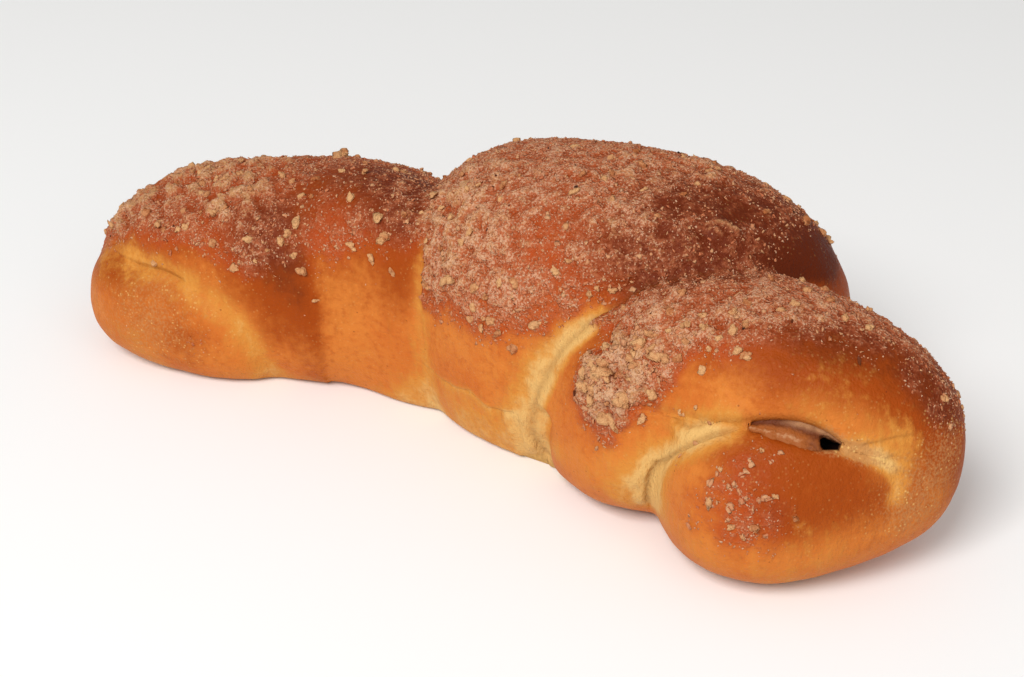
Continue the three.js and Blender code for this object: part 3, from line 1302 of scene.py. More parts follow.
class Skin:
    """The dough's skin at some places: how it is folded, baked and coated there."""

    painted = ("coat", "heap", "meal", "pale", "brown", "floury", "crease", "deep")

    def __init__(
        self, form: DoughForm, baking: Baking, points: Points, normals: Points, lumps: LumpField
    ) -> None:
        """Takes the places to look at.

        Args:
            form: The form of the dough.
            baking: How it was baked and coated.
            points: Places in millimetres, on its surface.
            normals: Directions straight out of the dough there.
            lumps: The lumps that make the skin uneven.
        """
        self.form, self.baking, self.lumps = form, baking, lumps
        self.points, self.normals = points, normals
        self.x, self.y, self.z = points.T
        self.up = normals[:, 2]

    def lumpy(self, size: float, shift: float = 0.0) -> Values:
        """Lumps of a size in millimetres at the places."""
        return self.lumps(self.points + shift, size)

    @cached_property
    def outer(self) -> Values:
        """Distances to the middle wrap."""
        return self.form.outer_wrap.distance(self.points)

    @cached_property
    def left(self) -> Values:
        """Distances to the left arm."""
        return self.form.left_arm.distance(self.points)

    @cached_property
    def right(self) -> Values:
        """Distances to the right arm."""
        return self.form.right_arm.distance(self.points)

    @cached_property
    def from_slit(self) -> Values:
        """Distances to the slit."""
        return self.form.slit.distance(self.points)

    @cached_property
    def along_slit(self) -> Values:
        """How far along the slit the places lie, from its middle."""
        return self.form.slit.local(self.points)[:, 0]

    @cached_property
    def traces(self) -> Traces:
        """Every fold, with how the places lie beside it."""
        return self.baking.folds.traces(self.points, self.normals)

    def on(self, part: Part) -> Values:
        """Which of the places belong to a part of the roll."""
        near = np.stack((self.left, self.outer, self.right), axis=1)
        return np.argmin(near, axis=1) == part.value

    def upper_wall(self, reach: float) -> Values:
        """How close places of the middle part are to the right arm that rises before them."""
        near = np.exp(-((self.right / reach) ** 2))
        return self.on(Part.MIDDLE) * near * smooth_step(34, 39, self.z)

    def valley(self, width: float) -> Values:
        """How close the places are to the seam before the right arm."""
        near = np.exp(-((np.maximum(self.outer, self.right) / 1.5) ** 2))
        return smooth_step(0, -12, self.y) * near * np.exp(-(((self.outer - self.right) / width) ** 2))

    @property
    def upper_seam(self) -> Values:
        """How close the places are to the upper seam between the middle and the right arm."""
        return smooth_step(33, 38, self.z) * seam(self.outer, self.right, 2.2)

    @property
    def wrinkles(self) -> Values:
        """Height of the fine wrinkles that run along the pale valley before the right arm."""
        waves = np.sin(2.6 * self.right + 3.5 * self.lumpy(6.0)) + 0.6 * self.lumpy(1.6)
        return waves * smooth_step(-6, -14, self.y) * seam(2.2 * self.outer, self.right, 5.0)

    @cached_property
    def above_edge(self) -> Values:
        """How far the places lie back and up from the coat's front edge.

        Returns:
            Lengths in millimetres, under 0 before the edge.
        """
        edge = np.zeros(len(self.points))
        for front in self.baking.coat_edges:
            edge = np.where(self.on(front.part), np.interp(self.x, front.along, front.heights), edge)
        back, up = self.baking.back_and_up
        return self.y * back + self.z * up - edge

    @cached_property
    def coat(self) -> Values:
        """How thickly sugar and nuts lie.

        Returns:
            0 for bare crust, about 1 for the full coat.
        """
        ragged = 2.4 * self.lumpy(7.0) + 1.8 * self.lumpy(2.8)
        found = smooth_step(-5.5, 4.5, self.above_edge + ragged)
        found *= smooth_step(0.05, 0.4, self.up + 0.25)
        steep = smooth_step(0.5, 0.1, self.up + 0.2 * self.lumpy(5.0))
        found *= 1 - smooth_step(2, 14, self.y) * steep
        low = np.maximum(smooth_step(37, 31, self.z), smooth_step(43, 50, self.x))
        bare_side = self.on(Part.MIDDLE) * smooth_step(0.5, 0.72, self.normals[:, 0])
        found *= 1 - bare_side * low
        beside_valley = self.on(Part.RIGHT) * smooth_step(-4, -12, self.y) * low
        found *= 1 - beside_valley * smooth_step(6.0, 3.0, self.outer)
        found *= 1 - self.baking.upper_wall_bare * self.upper_wall(5.0)
        uneven = 0.92 + 0.25 * self.lumpy(5.5) + 0.15 * self.lumpy(2.4)
        found *= uneven - total(self.baking.thin, self.points)
        strewn = total(self.baking.strewn, self.points) * (0.8 + 0.6 * self.lumpy(2.5))
        return np.clip(found + strewn, 0, self.baking.thickest)

    @cached_property
    def heap(self) -> Values:
        """Where the coat lies in small heaps: 1 on a heap, 0 between them."""
        broad, small = self.baking.heap_sizes
        return smooth_step(-0.7, 0.7, self.lumpy(broad) + 0.8 * self.lumpy(small, 50))

    @cached_property
    def meal(self) -> Values:
        """Where nut meal and sugar stick together in pale mounds.

        Returns:
            0 between the mounds, about 1 on the thick ones.
        """
        mounds = smooth_step(-0.35, 0.35, self.lumpy(self.baking.mound_size, 20))
        found = total(self.baking.mealed, self.points) * (0.1 + mounds + 0.4 * self.lumpy(1.5))
        return np.clip(found, 0, self.baking.thickest) * smooth_step(0.1, 0.5, self.coat)

    @property
    def pale(self) -> Values:
        """How pale the crust is: the valley, the creases, the foot and a few more places.

        Returns:
            0 for golden crust, about 1 for cream.
        """
        baking = self.baking
        front = smooth_step(-2, -12, self.y)
        reach = np.interp(self.z, baking.valley_heights, baking.valley_reaches)
        before, behind = np.exp(-((self.outer / baking.arm_rim) ** 4)), np.exp(-((self.right / reach) ** 2))
        wall = np.where(self.outer < self.right, behind, before) * smooth_step(39, 31, self.z)
        found = front * wall + baking.left_seam_pale * front * seam(self.outer, self.left, 1.6)
        low = baking.foot_pale * smooth_step(6, 0, self.z)
        found += low + total(baking.paled, self.points) + baking.folds.pale(self.traces)
        return found * (1 + 0.3 * self.lumpy(4.0))

    @property
    def brown(self) -> Values:
        """How brown the crust is: what faces up, the ridges, a few more places and painted shade on the wall
        above the right arm.

        Returns:
            0 for golden crust, 1 for brown, more for dark.
        """
        baking = self.baking
        found = baking.top_brown * smooth_step(0.05, 0.95, self.up)
        found = found + total(baking.browned, self.points) + baking.folds.brown(self.traces)
        near_coat = baking.coat_edge_brown * smooth_step(-15, 3, self.above_edge)
        near_coat = near_coat * smooth_step(-0.1, 0.45, self.up)
        # painted shade on the middle wrap's wall where the right arm rises before it
        found += near_coat + baking.upper_wall_shade * self.upper_wall(7.0)
        return found + 0.15 * self.lumpy(11.0)

    @property
    def floury(self) -> Values:
        """How floury the crust is: a few places and the lip at the slit's open end."""
        lip = np.exp(-((self.from_slit / 1.1) ** 2)) * smooth_step(2, 6, self.along_slit)
        return total(self.baking.floured, self.points) + self.baking.lip_flour * lip

    @property
    def upper_lip(self) -> Values:
        """How much the upper lip of the slit turns away into shade.

        Returns:
            0 away from the lip.
        """
        height = self.form.slit.local(self.points)[:, 2]
        upper = smooth_step(0.2, 1.2, height) * smooth_step(6.5, 3.0, self.along_slit)
        return self.baking.lip_shade * upper * np.exp(-(np.maximum(self.from_slit, 0) ** 2))

    @property
    def crease(self) -> Values:
        """How strongly painted shade darkens places: the narrow folds, the seam before the right arm and the
        slit's upper lip.
        """
        folds = self.baking.folds.crease(self.traces)
        return np.clip(folds + self.baking.valley_shade * self.valley(0.4) + self.upper_lip, 0, 1)

    @property
    def deep(self) -> Values:
        """How far into the slit places lie, for the painted shadow inside it, most at its open end."""
        open_end = smooth_step(2.0, 4.5, self.along_slit)
        return smooth_step(0.9, 2.6, -self.form.uncut(self.points)) * (0.5 + 0.5 * open_end)


# Pieces of the roll


@dataclass
class Dough:
    """The baked dough: the wraps as one skin with its creases, its slit and its uneven crust."""

    form: DoughForm
    baking: Baking
    first_voxel: float = 1.0
    voxel: float = 0.69
    wrap_mesh: tuple[int, int] = (56, 40)
    slit_mesh: tuple[int, int] = (32, 20)
    smoothing: float = 0.5
    rounds: int = 3
    broad_lumps: float = 0.35
    small_lumps: float = 0.12
    coat_lumps: float = 0.42
    meal_lumps: float = 1.4
    seam_groove: float = 1.3
    valley_groove: float = 0.4
    wrinkle_height: float = 0.22
    fine_reach: float = 1.3
    fine_valley: float = 0.3
    fine_lowest: float = 1.0
    slope_step: float = 0.4
    base_band: float = 0.3
    slit_tip: Spot = Spot((57.3, -22.9, 28.6), 1.8, 1.0)
    tip_smoothing: int = 16
    least_weight: float = 0.02
    seed: int = 7
    piece: bpy.types.Object | None = None

    def build(self) -> bpy.types.Object:
        """Models the dough.

        Returns:
            The dough's piece.
        """
        balls = [ball(f"wrap_{i}", wrap.onto, *self.wrap_mesh) for i, wrap in enumerate(self.form.wraps)]
        self.piece = joined(balls)
        self.piece.name = self.piece.data.name = "baked_dough"
        apply_modifier(self.piece, "REMESH", mode="VOXEL", voxel_size=self.first_voxel * MM)
        cut_flat_base(self.piece)
        cutter = ball("slit_cutter", self.form.slit.onto, *self.slit_mesh)
        apply_modifier(self.piece, "BOOLEAN", operation="DIFFERENCE", object=cutter, solver="EXACT")
        remove(cutter)
        apply_modifier(self.piece, "REMESH", mode="VOXEL", voxel_size=self.voxel * MM)
        move_vertices(self.piece, self.form.settle(vertices_of(self.piece)))
        apply_modifier(self.piece, "SMOOTH", factor=self.smoothing, iterations=self.rounds)
        self.refine()
        self.roughen()
        self.ease_tip()
        bpy.ops.object.shade_smooth()
        return self.piece

    def refine(self) -> None:
        """Divides the faces along the sharp folds, the slit's lips and the seam before the right arm."""
        mesh = self.piece.data
        flat = np.empty(len(mesh.polygons) * 3, np.float32)
        mesh.polygons.foreach_get("center", flat)
        middles = flat.reshape(-1, 3).astype(float) / MM
        skin = Skin(self.form, self.baking, middles, self.form.outward(middles), LumpField(self.seed))
        chosen = self.baking.folds.near(middles, skin.normals, self.fine_reach)
        chosen |= np.abs(skin.from_slit) < self.fine_reach
        chosen |= skin.valley(self.fine_reach) > self.fine_valley
        clear_selection()
        bpy.context.tool_settings.mesh_select_mode = (False, False, True)
        mesh.vertices.foreach_set("select", np.zeros(len(mesh.vertices), bool))
        mesh.edges.foreach_set("select", np.zeros(len(mesh.edges), bool))
        mesh.polygons.foreach_set("select", chosen & (middles[:, 2] > self.fine_lowest))
        self.piece.select_set(True)
        bpy.context.view_layer.objects.active = self.piece
        bpy.ops.object.mode_set(mode="EDIT")
        bpy.ops.mesh.subdivide(number_cuts=2, ngon=False)
        bpy.ops.object.mode_set(mode="OBJECT")

    def roughen(self) -> None:
        """Gives the skin its lumps and stores its colours and coat on the vertices."""
        points = self.form.settle(vertices_of(self.piece), self.rounds)
        normals = self.form.outward(points, self.slope_step)
        skin = Skin(self.form, self.baking, points, normals, LumpField(self.seed))
        height = self.broad_lumps * skin.lumpy(17.0) + self.small_lumps * skin.lumpy(4.0)
        heaped = self.coat_lumps * skin.coat * skin.heap
        height += heaped + self.meal_lumps * skin.meal * (0.7 + 0.3 * skin.heap)
        height -= self.seam_groove * skin.upper_seam + self.valley_groove * skin.valley(0.6)
        height += self.wrinkle_height * skin.wrinkles
        height -= self.baking.folds.depth(skin.traces)
        for name in skin.painted:
            paint(self.piece, name, getattr(skin, name))
        lifted = points[:, 2] > self.base_band
        points = points + normals * (height * lifted)[:, None]
        points[:, 2] = np.maximum(points[:, 2], 0)
        move_vertices(self.piece, points)

    def ease_tip(self) -> None:
        """Smooths the skin round the slit's pointed end, where the cut is narrower than the faces."""
        weights = self.slit_tip.over(vertices_of(self.piece))
        group = self.piece.vertex_groups.new(name="slit_tip")
        for number in np.flatnonzero(weights > self.least_weight):
            group.add([int(number)], float(weights[number]), "REPLACE")
        settings = {"factor": self.smoothing, "iterations": self.tip_smoothing}
        apply_modifier(self.piece, "SMOOTH", vertex_group=group.name, **settings)
        self.piece.vertex_groups.clear()

    def dress(self) -> None:
        """Gives the dough its finish and its place in the frame."""
        self.piece.data.materials.clear()
        self.piece.data.materials.append(CrustFinish().make())
        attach(self.piece, BODY)
        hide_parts(DOUGH_NODE)


@dataclass
class Filling:
    """The nut filling, with its crumbly face in the slit."""

    node: bpy.types.Object
    form: DoughForm
    overlap: float = 0.5
    lower_setback: float = 0.1
    upper_setback: float = 1.1
    hole_start: float = 4.9
    hole_depth: float = 6.0
    voxel: float = 0.4
    weld: float = 0.01
    crumb: float = 0.3
    face_mesh: tuple[int, int] = (48, 32)
    press_rounds: int = 8
    press_share: float = 0.8
    seed: int = 11
    piece: bpy.types.Object | None = None

    def setback(self, local: Points, lumps: LumpField) -> Values:
        """How far below the dough's skin the face lies.

        Args:
            local: Places seen from the slit's middle.
            lumps: The lumps that make the hole's edge ragged.

        Returns:
            Depths in millimetres: small at the lower lip, more under the upper one, most in the hole.
        """
        level = self.form.slit.level(local)
        upper = smooth_step(-0.5, 0.9, level)
        depth = self.lower_setback + (self.upper_setback - self.lower_setback) * upper
        ragged = self.hole_start + lumps(local, 1.6) + 0.5 * lumps(local, 0.8) - 0.8 * level
        roof = smooth_step(0.6, 0.2, level - 0.3 * lumps(local, 1.0))
        hole = smooth_step(-0.6, 0.6, local[:, 0] - ragged) * roof
        return depth + self.hole_depth * hole

    def face(self, lumps: LumpField) -> bpy.types.Object:
        """Models the face that fills the slit.

        Args:
            lumps: The lumps that make the hole's edge ragged.

        Returns:
            A closed form, pressed in to the face's depth below the dough's skin.
        """
        slit = self.form.slit
        plug = replace(slit, length=slit.length + self.overlap, height=slit.height + 2 * self.overlap)
        piece = ball("filling_face", plug.onto, *self.face_mesh)
        apply_modifier(piece, "REMESH", mode="VOXEL", voxel_size=self.voxel * MM)
        points = vertices_of(piece)
        inward = slit.axes[:, 1]
        for _ in range(self.press_rounds):
            short = self.form.uncut(points) + self.setback(slit.local(points), lumps)
            points = points + inward * (self.press_share * np.maximum(short, 0))[:, None]
        move_vertices(piece, points)
        return piece

    def build(self) -> bpy.types.Object:
        """Models the filling from a copy of its solid and the face in the slit.

        Returns:
            The filling's piece.
        """
        lumps = LumpField(self.seed)
        mesh = self.node.data.copy()
        self.piece = bpy.data.objects.new("ground_nut_filling", mesh)
        mesh.name = self.piece.name
        bpy.context.scene.collection.objects.link(self.piece)
        apply_modifier(self.piece, "WELD", merge_threshold=self.weld * MM)
        self.piece = joined([self.piece, self.face(lumps)])
        apply_modifier(self.piece, "REMESH", mode="VOXEL", voxel_size=self.voxel * MM)
        points = vertices_of(self.piece)
        flat = np.empty(len(points) * 3, np.float32)
        self.piece.data.vertex_normals.foreach_get("vector", flat)
        height = self.crumb * (lumps(points, 2.0) + 0.6 * lumps(points, 0.9))
        move_vertices(self.piece, points + flat.reshape(-1, 3) * height[:, None])
        local = self.form.slit.local(points)
        level = self.form.slit.level(local)
        before_hole = smooth_step(0.0, 4.5, local[:, 0])
        # painted light and shade for the face: lit towards the lower lip, shaded under the upper lip and
        # towards the hole
        paint(self.piece, "lower", smooth_step(0.7, -0.4, level) * (1 - 0.6 * before_hole))
        paint(self.piece, "streak", np.exp(-(((level + 0.55) / 0.4) ** 2)) * (1 - before_hole))
        lip = np.exp(-(((level - 0.8) / 0.3) ** 2)) * smooth_step(-2.5, 0.5, local[:, 0])
        paint(self.piece, "lip", lip * (0.8 + 0.6 * lumps(points, 1.2)))
        # painted shadow deep in the hole
        paint(self.piece, "deep", smooth_step(1.6, 3.2, -self.form.uncut(points)))
        bpy.ops.object.shade_smooth()
        return self.piece

    def dress(self) -> None:
        """Gives the filling its finish and its place in the frame."""
        self.piece.data.materials.clear()
        self.piece.data.materials.append(FillingFinish().make())
        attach(self.piece, BODY)
        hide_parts(FILLING_NODE)


class Strewn(Enum):
    """The kinds of things strewn over the roll."""

    NUT = "chopped_nuts"
    CRUMB = "nut_crumbs"
    SUGAR = "coarse_sugar"
    FINE_SUGAR = "fine_sugar"
    SKIN = "nut_skin_flecks"


@dataclass(frozen=True)
class Clump:
    """A place where several pieces lie together: how far they spread, how many and how large they are."""

    at: Place
    spread: float
    count: int
    largest: float


@dataclass(frozen=True)
class Strewing:
    """How one kind is strewn: its finish, how many, how large in millimetres, and how they lie.

    bare is how thickly it lies outside the coat, edge how much more thickly at the coat's edge, heaped
    how much it keeps to the heaps, corners how many a chip is made from, cuts how often its faces
    are divided and roughened, and lobes how many chips stick together.
    """

    kind: Strewn
    finish: Finish
    count: int
    largest: float
    smallest: float
    seed: int
    corners: int
    cuts: int = 0
    lobes: int = 1
    flatness: tuple[float, float] = (0.7, 1.0)
    lift: float = 0.15
    spacing: float = 0.0
    least_coat: float = 0.1
    bare: float = 0.0
    edge: float = 0.0
    heaped: float = 0.0
    soft: bool = False
    clumps: tuple[Clump, ...] = ()


class Topping:
    """One kind of thing strewn over the dough, as one joined mesh of small pieces."""

    variants = 12
    clump_tint = 0.6
    lowest = 2.0
    corner_reach = (0.75, 1.1)
    roughness = 0.1
    lobe_gap = 0.32
    lobe_sizes = (0.5, 0.8)
    breadths = (0.5, 1.0)
    clump_sizes = (0.45, 1.0)
    size_curve = 0.4
    tries_each = 3
    tilt = 0.35
    edge_coat = 0.35
    edge_spread = 0.15

    def __init__(self, how: Strewing, dough: bpy.types.Object) -> None:
        """Takes the way of strewing.

        Args:
            how: How the kind is strewn.
            dough: The dough to strew it on.
        """
        self.how = how
        self.dough = dough
        self.draw = np.random.default_rng(how.seed)
        self.piece: bpy.types.Object | None = None

    def chip(self) -> tuple[Points, np.ndarray]:
        """Models one uneven chip of unit size.

        Returns:
            Its vertices and triangles.
        """
        cloud = unit(self.draw.normal(size=(self.how.corners, 3)))
        cloud *= self.draw.uniform(*self.corner_reach, size=(self.how.corners, 1)) / 2
        clear_selection()
        chip = mesh_piece("chip", cloud / MM, np.zeros((0, 3), int))
        bpy.context.view_layer.objects.active = chip
        chip.select_set(True)
        bpy.ops.object.mode_set(mode="EDIT")
        bpy.ops.mesh.select_all(action="SELECT")
        bpy.ops.mesh.convex_hull()
        bpy.ops.mesh.quads_convert_to_tris()
        if self.how.cuts:
            bpy.ops.mesh.subdivide(number_cuts=self.how.cuts, smoothness=0.5)
            bpy.ops.mesh.quads_convert_to_tris()
        bpy.ops.mesh.normals_make_consistent(inside=False)
        bpy.ops.object.mode_set(mode="OBJECT")
        faces = np.array([tuple(face.vertices) for face in chip.data.polygons])
        points = vertices_of(chip) * MM
        remove(chip)
        if self.how.cuts:
            points = points * (1 + self.draw.normal(scale=self.roughness, size=(len(points), 1)))
        return points, faces

    def weights(self, normals: Points, coat: Values, heap: Values) -> Values:
        """How thickly the kind lies on each triangle of the dough.

        Args:
            normals: Directions of the triangles, as long as twice their areas.
            coat: How thick the coat is there.
            heap: Where it lies in heaps.

        Returns:
            A weight for each triangle.
        """
        how = self.how
        area = np.linalg.norm(normals, axis=1)
        facing = smooth_step(-0.3, 0.2, normals[:, 2] / np.maximum(area, 1e-9))
        thick = np.clip(coat - how.least_coat, 0, 1) + how.bare * facing
        thick = thick + how.edge * np.exp(-(((coat - self.edge_coat) / self.edge_spread) ** 2))
        return area * thick * (1 - how.heaped + how.heaped * 2 * heap)

    def stored(self, name: str) -> Values:
        """Numbers that are stored on the dough's vertices.

        Args:
            name: The name that they were painted under.

        Returns:
            One number for each vertex.
        """
        values = np.empty(len(self.dough.data.vertices), np.float32)
        self.dough.data.attributes[name].data.foreach_get("value", values)
        return values

    def places(self) -> tuple[Points, Points, Values]:
        """Draws places on the dough, those of the clumps first.

        Returns:
            Places, the directions straight out of the dough there, and the sizes of what lies there.
        """
        mesh = self.dough.data
        mesh.calc_loop_triangles()
        corners = np.empty(len(mesh.loop_triangles) * 3, np.int32)
        mesh.loop_triangles.foreach_get("vertices", corners)
        corners = corners.reshape(-1, 3)
        coat, heap = (self.stored(name)[corners].mean(axis=1) for name in ("coat", "heap"))
        sides = vertices_of(self.dough)[corners]
        middles = sides.mean(axis=1)
        normals = np.cross(sides[:, 1] - sides[:, 0], sides[:, 2] - sides[:, 0])
        picked, sizes = [], []
        for clump in self.how.clumps:
            near = np.exp(-((np.linalg.norm(middles - np.array(clump.at), axis=1) / clump.spread) ** 2))
            near *= np.linalg.norm(normals, axis=1)
            picked.append(self.draw.choice(len(corners), size=clump.count, p=near / near.sum()))
            sizes.append(clump.largest * self.draw.uniform(*self.clump_sizes, size=clump.count))
        weight = self.weights(normals, coat, heap) * (middles[:, 2] > self.lowest)
        tries = self.how.count * (self.tries_each if self.how.spacing else 1)
        picked.append(self.draw.choice(len(corners), size=tries, p=weight / weight.sum()))
        share = np.linspace(0, 1, tries) ** self.size_curve
        sizes.append(self.how.largest + (self.how.smallest - self.how.largest) * share)
        chosen = np.concatenate(picked)
        mixed = self.draw.dirichlet((1, 1, 1), size=len(chosen))
        found = np.einsum("ij,ijk->ik", mixed, sides[chosen])
        keep = self.spaced(found)
        return found[keep], unit(normals[chosen])[keep], np.concatenate(sizes)[keep]

    def spaced(self, found: Points) -> np.ndarray:
        """Picks places that keep their distance from those before them.

        Args:
            found: Places in millimetres, those of the clumps first, which all stay.

        Returns:
            Numbers of the places that stay.
        """
        if not self.how.spacing:
            return np.arange(len(found))
        kept = list(range(sum(clump.count for clump in self.how.clumps)))
        last = len(kept) + self.how.count
        for number in range(len(kept), len(found)):
            near = np.linalg.norm(found[kept] - found[number], axis=1) < self.how.spacing
            if not near.any():
                kept.append(number)
            if len(kept) == last:
                break
        return np.array(kept)

    def build(self) -> bpy.types.Object:
        """Strews the pieces and joins them.

        Returns:
            The joined piece.
        """
        chips = [self.clump() for _ in range(self.variants)]
        points, normals, sizes = self.places()
        tints = self.draw.uniform(size=len(points))
        tints[:sum(clump.count for clump in self.how.clumps)] *= self.clump_tint
        vertices, faces, tint = [], [], []
        offset = 0
        for place, normal, size, shade_of in zip(points, normals, sizes, tints):
            form, sides = chips[self.draw.integers(len(chips))]
            flat = self.draw.uniform(*self.how.flatness)
            shaped = form * size * np.array([1.0, self.draw.uniform(*self.breadths), flat])
            vertices.append(shaped @ self.lying(normal).T + place + normal * size * flat * self.how.lift)
            faces.append(sides + offset)
            tint.append(np.full(len(form), shade_of))
            offset += len(form)
        self.piece = mesh_piece(self.how.kind.value, np.concatenate(vertices), np.concatenate(faces))
        paint(self.piece, "tint", np.concatenate(tint))
        if self.how.soft:
            self.piece.data.shade_smooth()
        return self.piece

    def clump(self) -> tuple[Points, np.ndarray]:
        """Sticks a few chips together.

        Returns:
            The vertices and triangles of a clump of about unit size.
        """
        points, faces = self.chip()
        for _ in range(self.how.lobes - 1):
            more, sides = self.chip()
            apart = unit(self.draw.normal(size=3)) * self.lobe_gap
            faces = np.concatenate([faces, sides + len(points)])
            points = np.concatenate([points, more * self.draw.uniform(*self.lobe_sizes) + apart])
        return points, faces

    def lying(self, normal: np.ndarray) -> np.ndarray:
        """Turns a chip so that it lies on the dough, at any heading and a little tilted.

        Args:
            normal: Direction straight out of the dough.

        Returns:
            The turn's matrix.
        """
        up = unit(normal + self.draw.normal(scale=self.tilt, size=3))
        side = unit(np.cross(up, self.draw.normal(size=3)))
        return np.stack([side, np.cross(up, side), up], axis=1)

    def dress(self) -> None:
        """Gives the pieces their finish and their place in the frame."""
        self.piece.data.materials.append(self.how.finish.make())
        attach(self.piece, BODY)


# The studio


@dataclass(frozen=True)
class SoftLight:
    """A square lamp: where it hangs round the roll and how high, its side and its power in watts."""

    name: str
    azimuth: float
    elevation: float
    side: float
    power: float


@dataclass(frozen=True)
class Studio:
    """Floor, lights and camera, in millimetres and degrees."""

    target: Place = (5.0, -6.8, 19.0)
    azimuth: float = 32.0
    elevation: float = 31.0
    distance: float = 345.0
    lens: float = 70.0
    sensor: float = 36.0
    nearest: float = 10.0
    floor_size: float = 6000.0
    light_distance: float = 1100.0
    lights: tuple[SoftLight, ...] = (
        SoftLight("key_light", 2.0, 47.0, 500.0, 9.5),
        SoftLight("fill_light", 55.0, 30.0, 1000.0, 2.4),
    )
    air_colour: Colour = (1.0, 0.99, 0.97)
    air_strength: float = 0.4

    def direction(self, azimuth: float, elevation: float) -> Vector:
        """Direction from the target towards an azimuth and elevation."""
        a, e = math.radians(azimuth), math.radians(elevation)
        return Vector((math.sin(a) * math.cos(e), -math.cos(a) * math.cos(e), math.sin(e)))

    def aim(self, thing: bpy.types.Object, azimuth: float, elevation: float, distance: float) -> None:
        """Places a light or camera and points it at the target.

        Args:
            thing: The light or camera.
            azimuth: Where it stands round the roll.
            elevation: How high it stands.
            distance: How far from the target.
        """
        away = self.direction(azimuth, elevation)
        thing.location = (Vector(self.target) + away * distance) * MM
        thing.rotation_euler = away.to_track_quat("Z", "Y").to_euler()

    def build_floor(self) -> None:
        """Lays the floor."""
        clear_selection()
        bpy.ops.mesh.primitive_plane_add(size=self.floor_size * MM)
        floor = bpy.context.object
        floor.name = "studio_floor"
        floor.data.materials.append(FloorFinish().make())

    def build_light(self, light: SoftLight) -> None:
        """Hangs one soft light.

        Args:
            light: The light.
        """
        lamp = bpy.data.lights.new(light.name, "AREA")
        lamp.size = light.side * MM
        lamp.energy = light.power
        hung = bpy.data.objects.new(light.name, lamp)
        bpy.context.scene.collection.objects.link(hung)
        self.aim(hung, light.azimuth, light.elevation, self.light_distance)

    def build(self) -> None:
        """Builds the studio and the camera."""
        scene = bpy.context.scene
        scene.view_settings.view_transform = "Standard"
        world = bpy.data.worlds.new("studio_air")
        world.use_nodes = True
        glow = world.node_tree.nodes["Background"].inputs
        glow["Color"].default_value = (*self.air_colour, 1.0)
        glow["Strength"].default_value = self.air_strength
        scene.world = world
        self.build_floor()
        for light in self.lights:
            self.build_light(light)
        camera = bpy.data.objects.new("camera", bpy.data.cameras.new("camera"))
        camera.data.lens = self.lens
        camera.data.sensor_width = self.sensor
        camera.data.clip_start = self.nearest * MM
        scene.collection.objects.link(camera)
        self.aim(camera, self.azimuth, self.elevation, self.distance)
        scene.camera = camera


# What is strewn over the dough, and the build


NUT_CLUMPS: tuple[Clump, ...] = (
    Clump((-41, 5, 37), 0.8, 2, 5.0), Clump((-64.5, -3.5, 32), 1.0, 2, 3.2),
    Clump((-62, -20.5, 26.5), 4.0, 4, 2.2), Clump((-37, -16.5, 30), 4.5, 7, 2.6),
    Clump((-17, -11, 34), 5.0, 7, 2.8), Clump((3.5, -16.6, 26.5), 7.0, 7, 2.6),
    Clump((30.5, -21.4, 28), 3.6, 12, 3.8), Clump((33.5, -23, 25), 3.2, 8, 3.4),
    Clump((37.5, -21, 31.5), 3.6, 8, 3.4), Clump((-58, -9, 34), 7.0, 12, 2.6),
    Clump((42, -19.5, 34.5), 4.0, 8, 2.6), Clump((47, -18, 37.5), 4.0, 5, 2.4),
    Clump((53, -17.5, 38.5), 3.0, 5, 2.6), Clump((27, -14, 36.5), 3.0, 4, 2.0),
    Clump((51, -24, 27.5), 3.5, 5, 1.4), Clump((59.5, -29.5, 21.5), 4.5, 4, 2.2),
    Clump((62.5, -30.5, 15), 3.0, 2, 2.0),
)
SKIN_CLUMPS: tuple[Clump, ...] = (
    Clump((69.6, -11, 37.6), 0.4, 1, 2.6), Clump((26.5, -22, 22.5), 0.8, 1, 2.2),
)
CRUMB_CLUMPS: tuple[Clump, ...] = (
    Clump((31, -22, 27), 5.0, 70, 1.9), Clump((38, -21, 31.5), 4.5, 40, 1.8),
    Clump((60, -30, 20), 5.0, 24, 2.3), Clump((27, -14, 36.5), 2.5, 14, 1.6),
)
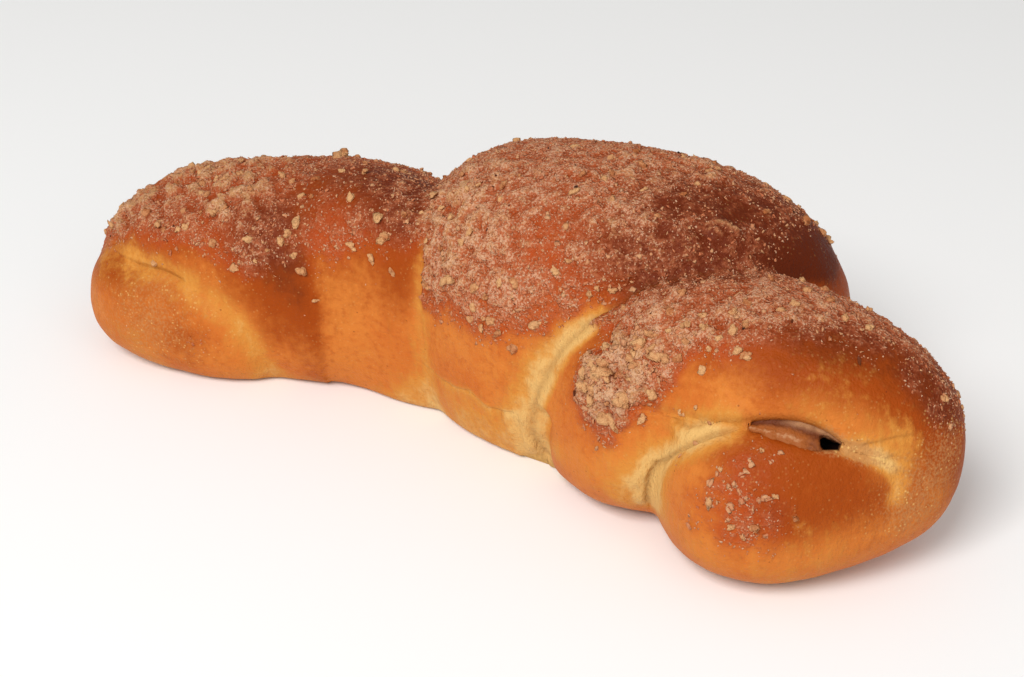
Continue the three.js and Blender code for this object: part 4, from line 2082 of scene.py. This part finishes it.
TOPPINGS: tuple[Strewing, ...] = (
    Strewing(
        Strewn.NUT, NutFinish(), 170, 2.8, 1.0, seed=21, corners=12, cuts=1, lobes=3, flatness=(0.5, 0.8),
        lift=0.02, spacing=1.8, least_coat=0.15, edge=0.35, soft=True, clumps=NUT_CLUMPS,
    ),
    Strewing(
        Strewn.CRUMB,
        GrainFinish("nut_meal", shade(198, 145, 104), shade(184, 106, 70), 0.6, 0.1, mottled=True),
        3200, 1.7, 0.7, seed=25, corners=9, lobes=2, flatness=(0.3, 0.5), lift=-0.05,
        least_coat=0.12, edge=0.1, heaped=0.6, soft=True, clumps=CRUMB_CLUMPS,
    ),
    Strewing(
        Strewn.SUGAR,
        GrainFinish("coarse_sugar", shade(206, 163, 130), shade(180, 106, 70), 0.45, 0.12),
        15000, 1.0, 0.5, seed=22, corners=7, flatness=(0.25, 0.45), lift=0.0,
        least_coat=0.08, bare=0.002, heaped=0.6, soft=True,
    ),
    Strewing(
        Strewn.FINE_SUGAR,
        GrainFinish("fine_sugar", shade(192, 142, 108), shade(176, 100, 66), 0.45, 0.12),
        10000, 0.6, 0.4, seed=24, corners=6, flatness=(0.35, 0.6), lift=0.0,
        least_coat=0.03, bare=0.006, heaped=0.4, soft=True,
    ),
    Strewing(
        Strewn.SKIN,
        GrainFinish("nut_skin", shade(104, 50, 24), shade(40, 20, 14), 0.5, 0.1),
        50, 1.1, 0.4, seed=23, corners=9, flatness=(0.2, 0.4), lift=0.3, spacing=2.5, clumps=SKIN_CLUMPS,
    ),
)


def report(piece: bpy.types.Object) -> None:
    """Logs a finished piece."""
    LOG.info("%s: %d faces", piece.name, len(piece.data.polygons))


def main() -> None:
    """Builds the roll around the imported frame."""
    logging.basicConfig(level=logging.INFO, format="%(name)s %(message)s")
    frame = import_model()
    form = DoughForm()
    Studio().build()
    dough = Dough(form, Baking())
    report(dough.build())
    dough.dress()
    filling = Filling(frame["nodes"][FILLING_NODE], form)
    report(filling.build())
    filling.dress()
    for how in TOPPINGS:
        topping = Topping(how, dough.piece)
        report(topping.build())
        topping.dress()


if __name__ == "__main__":
    main()
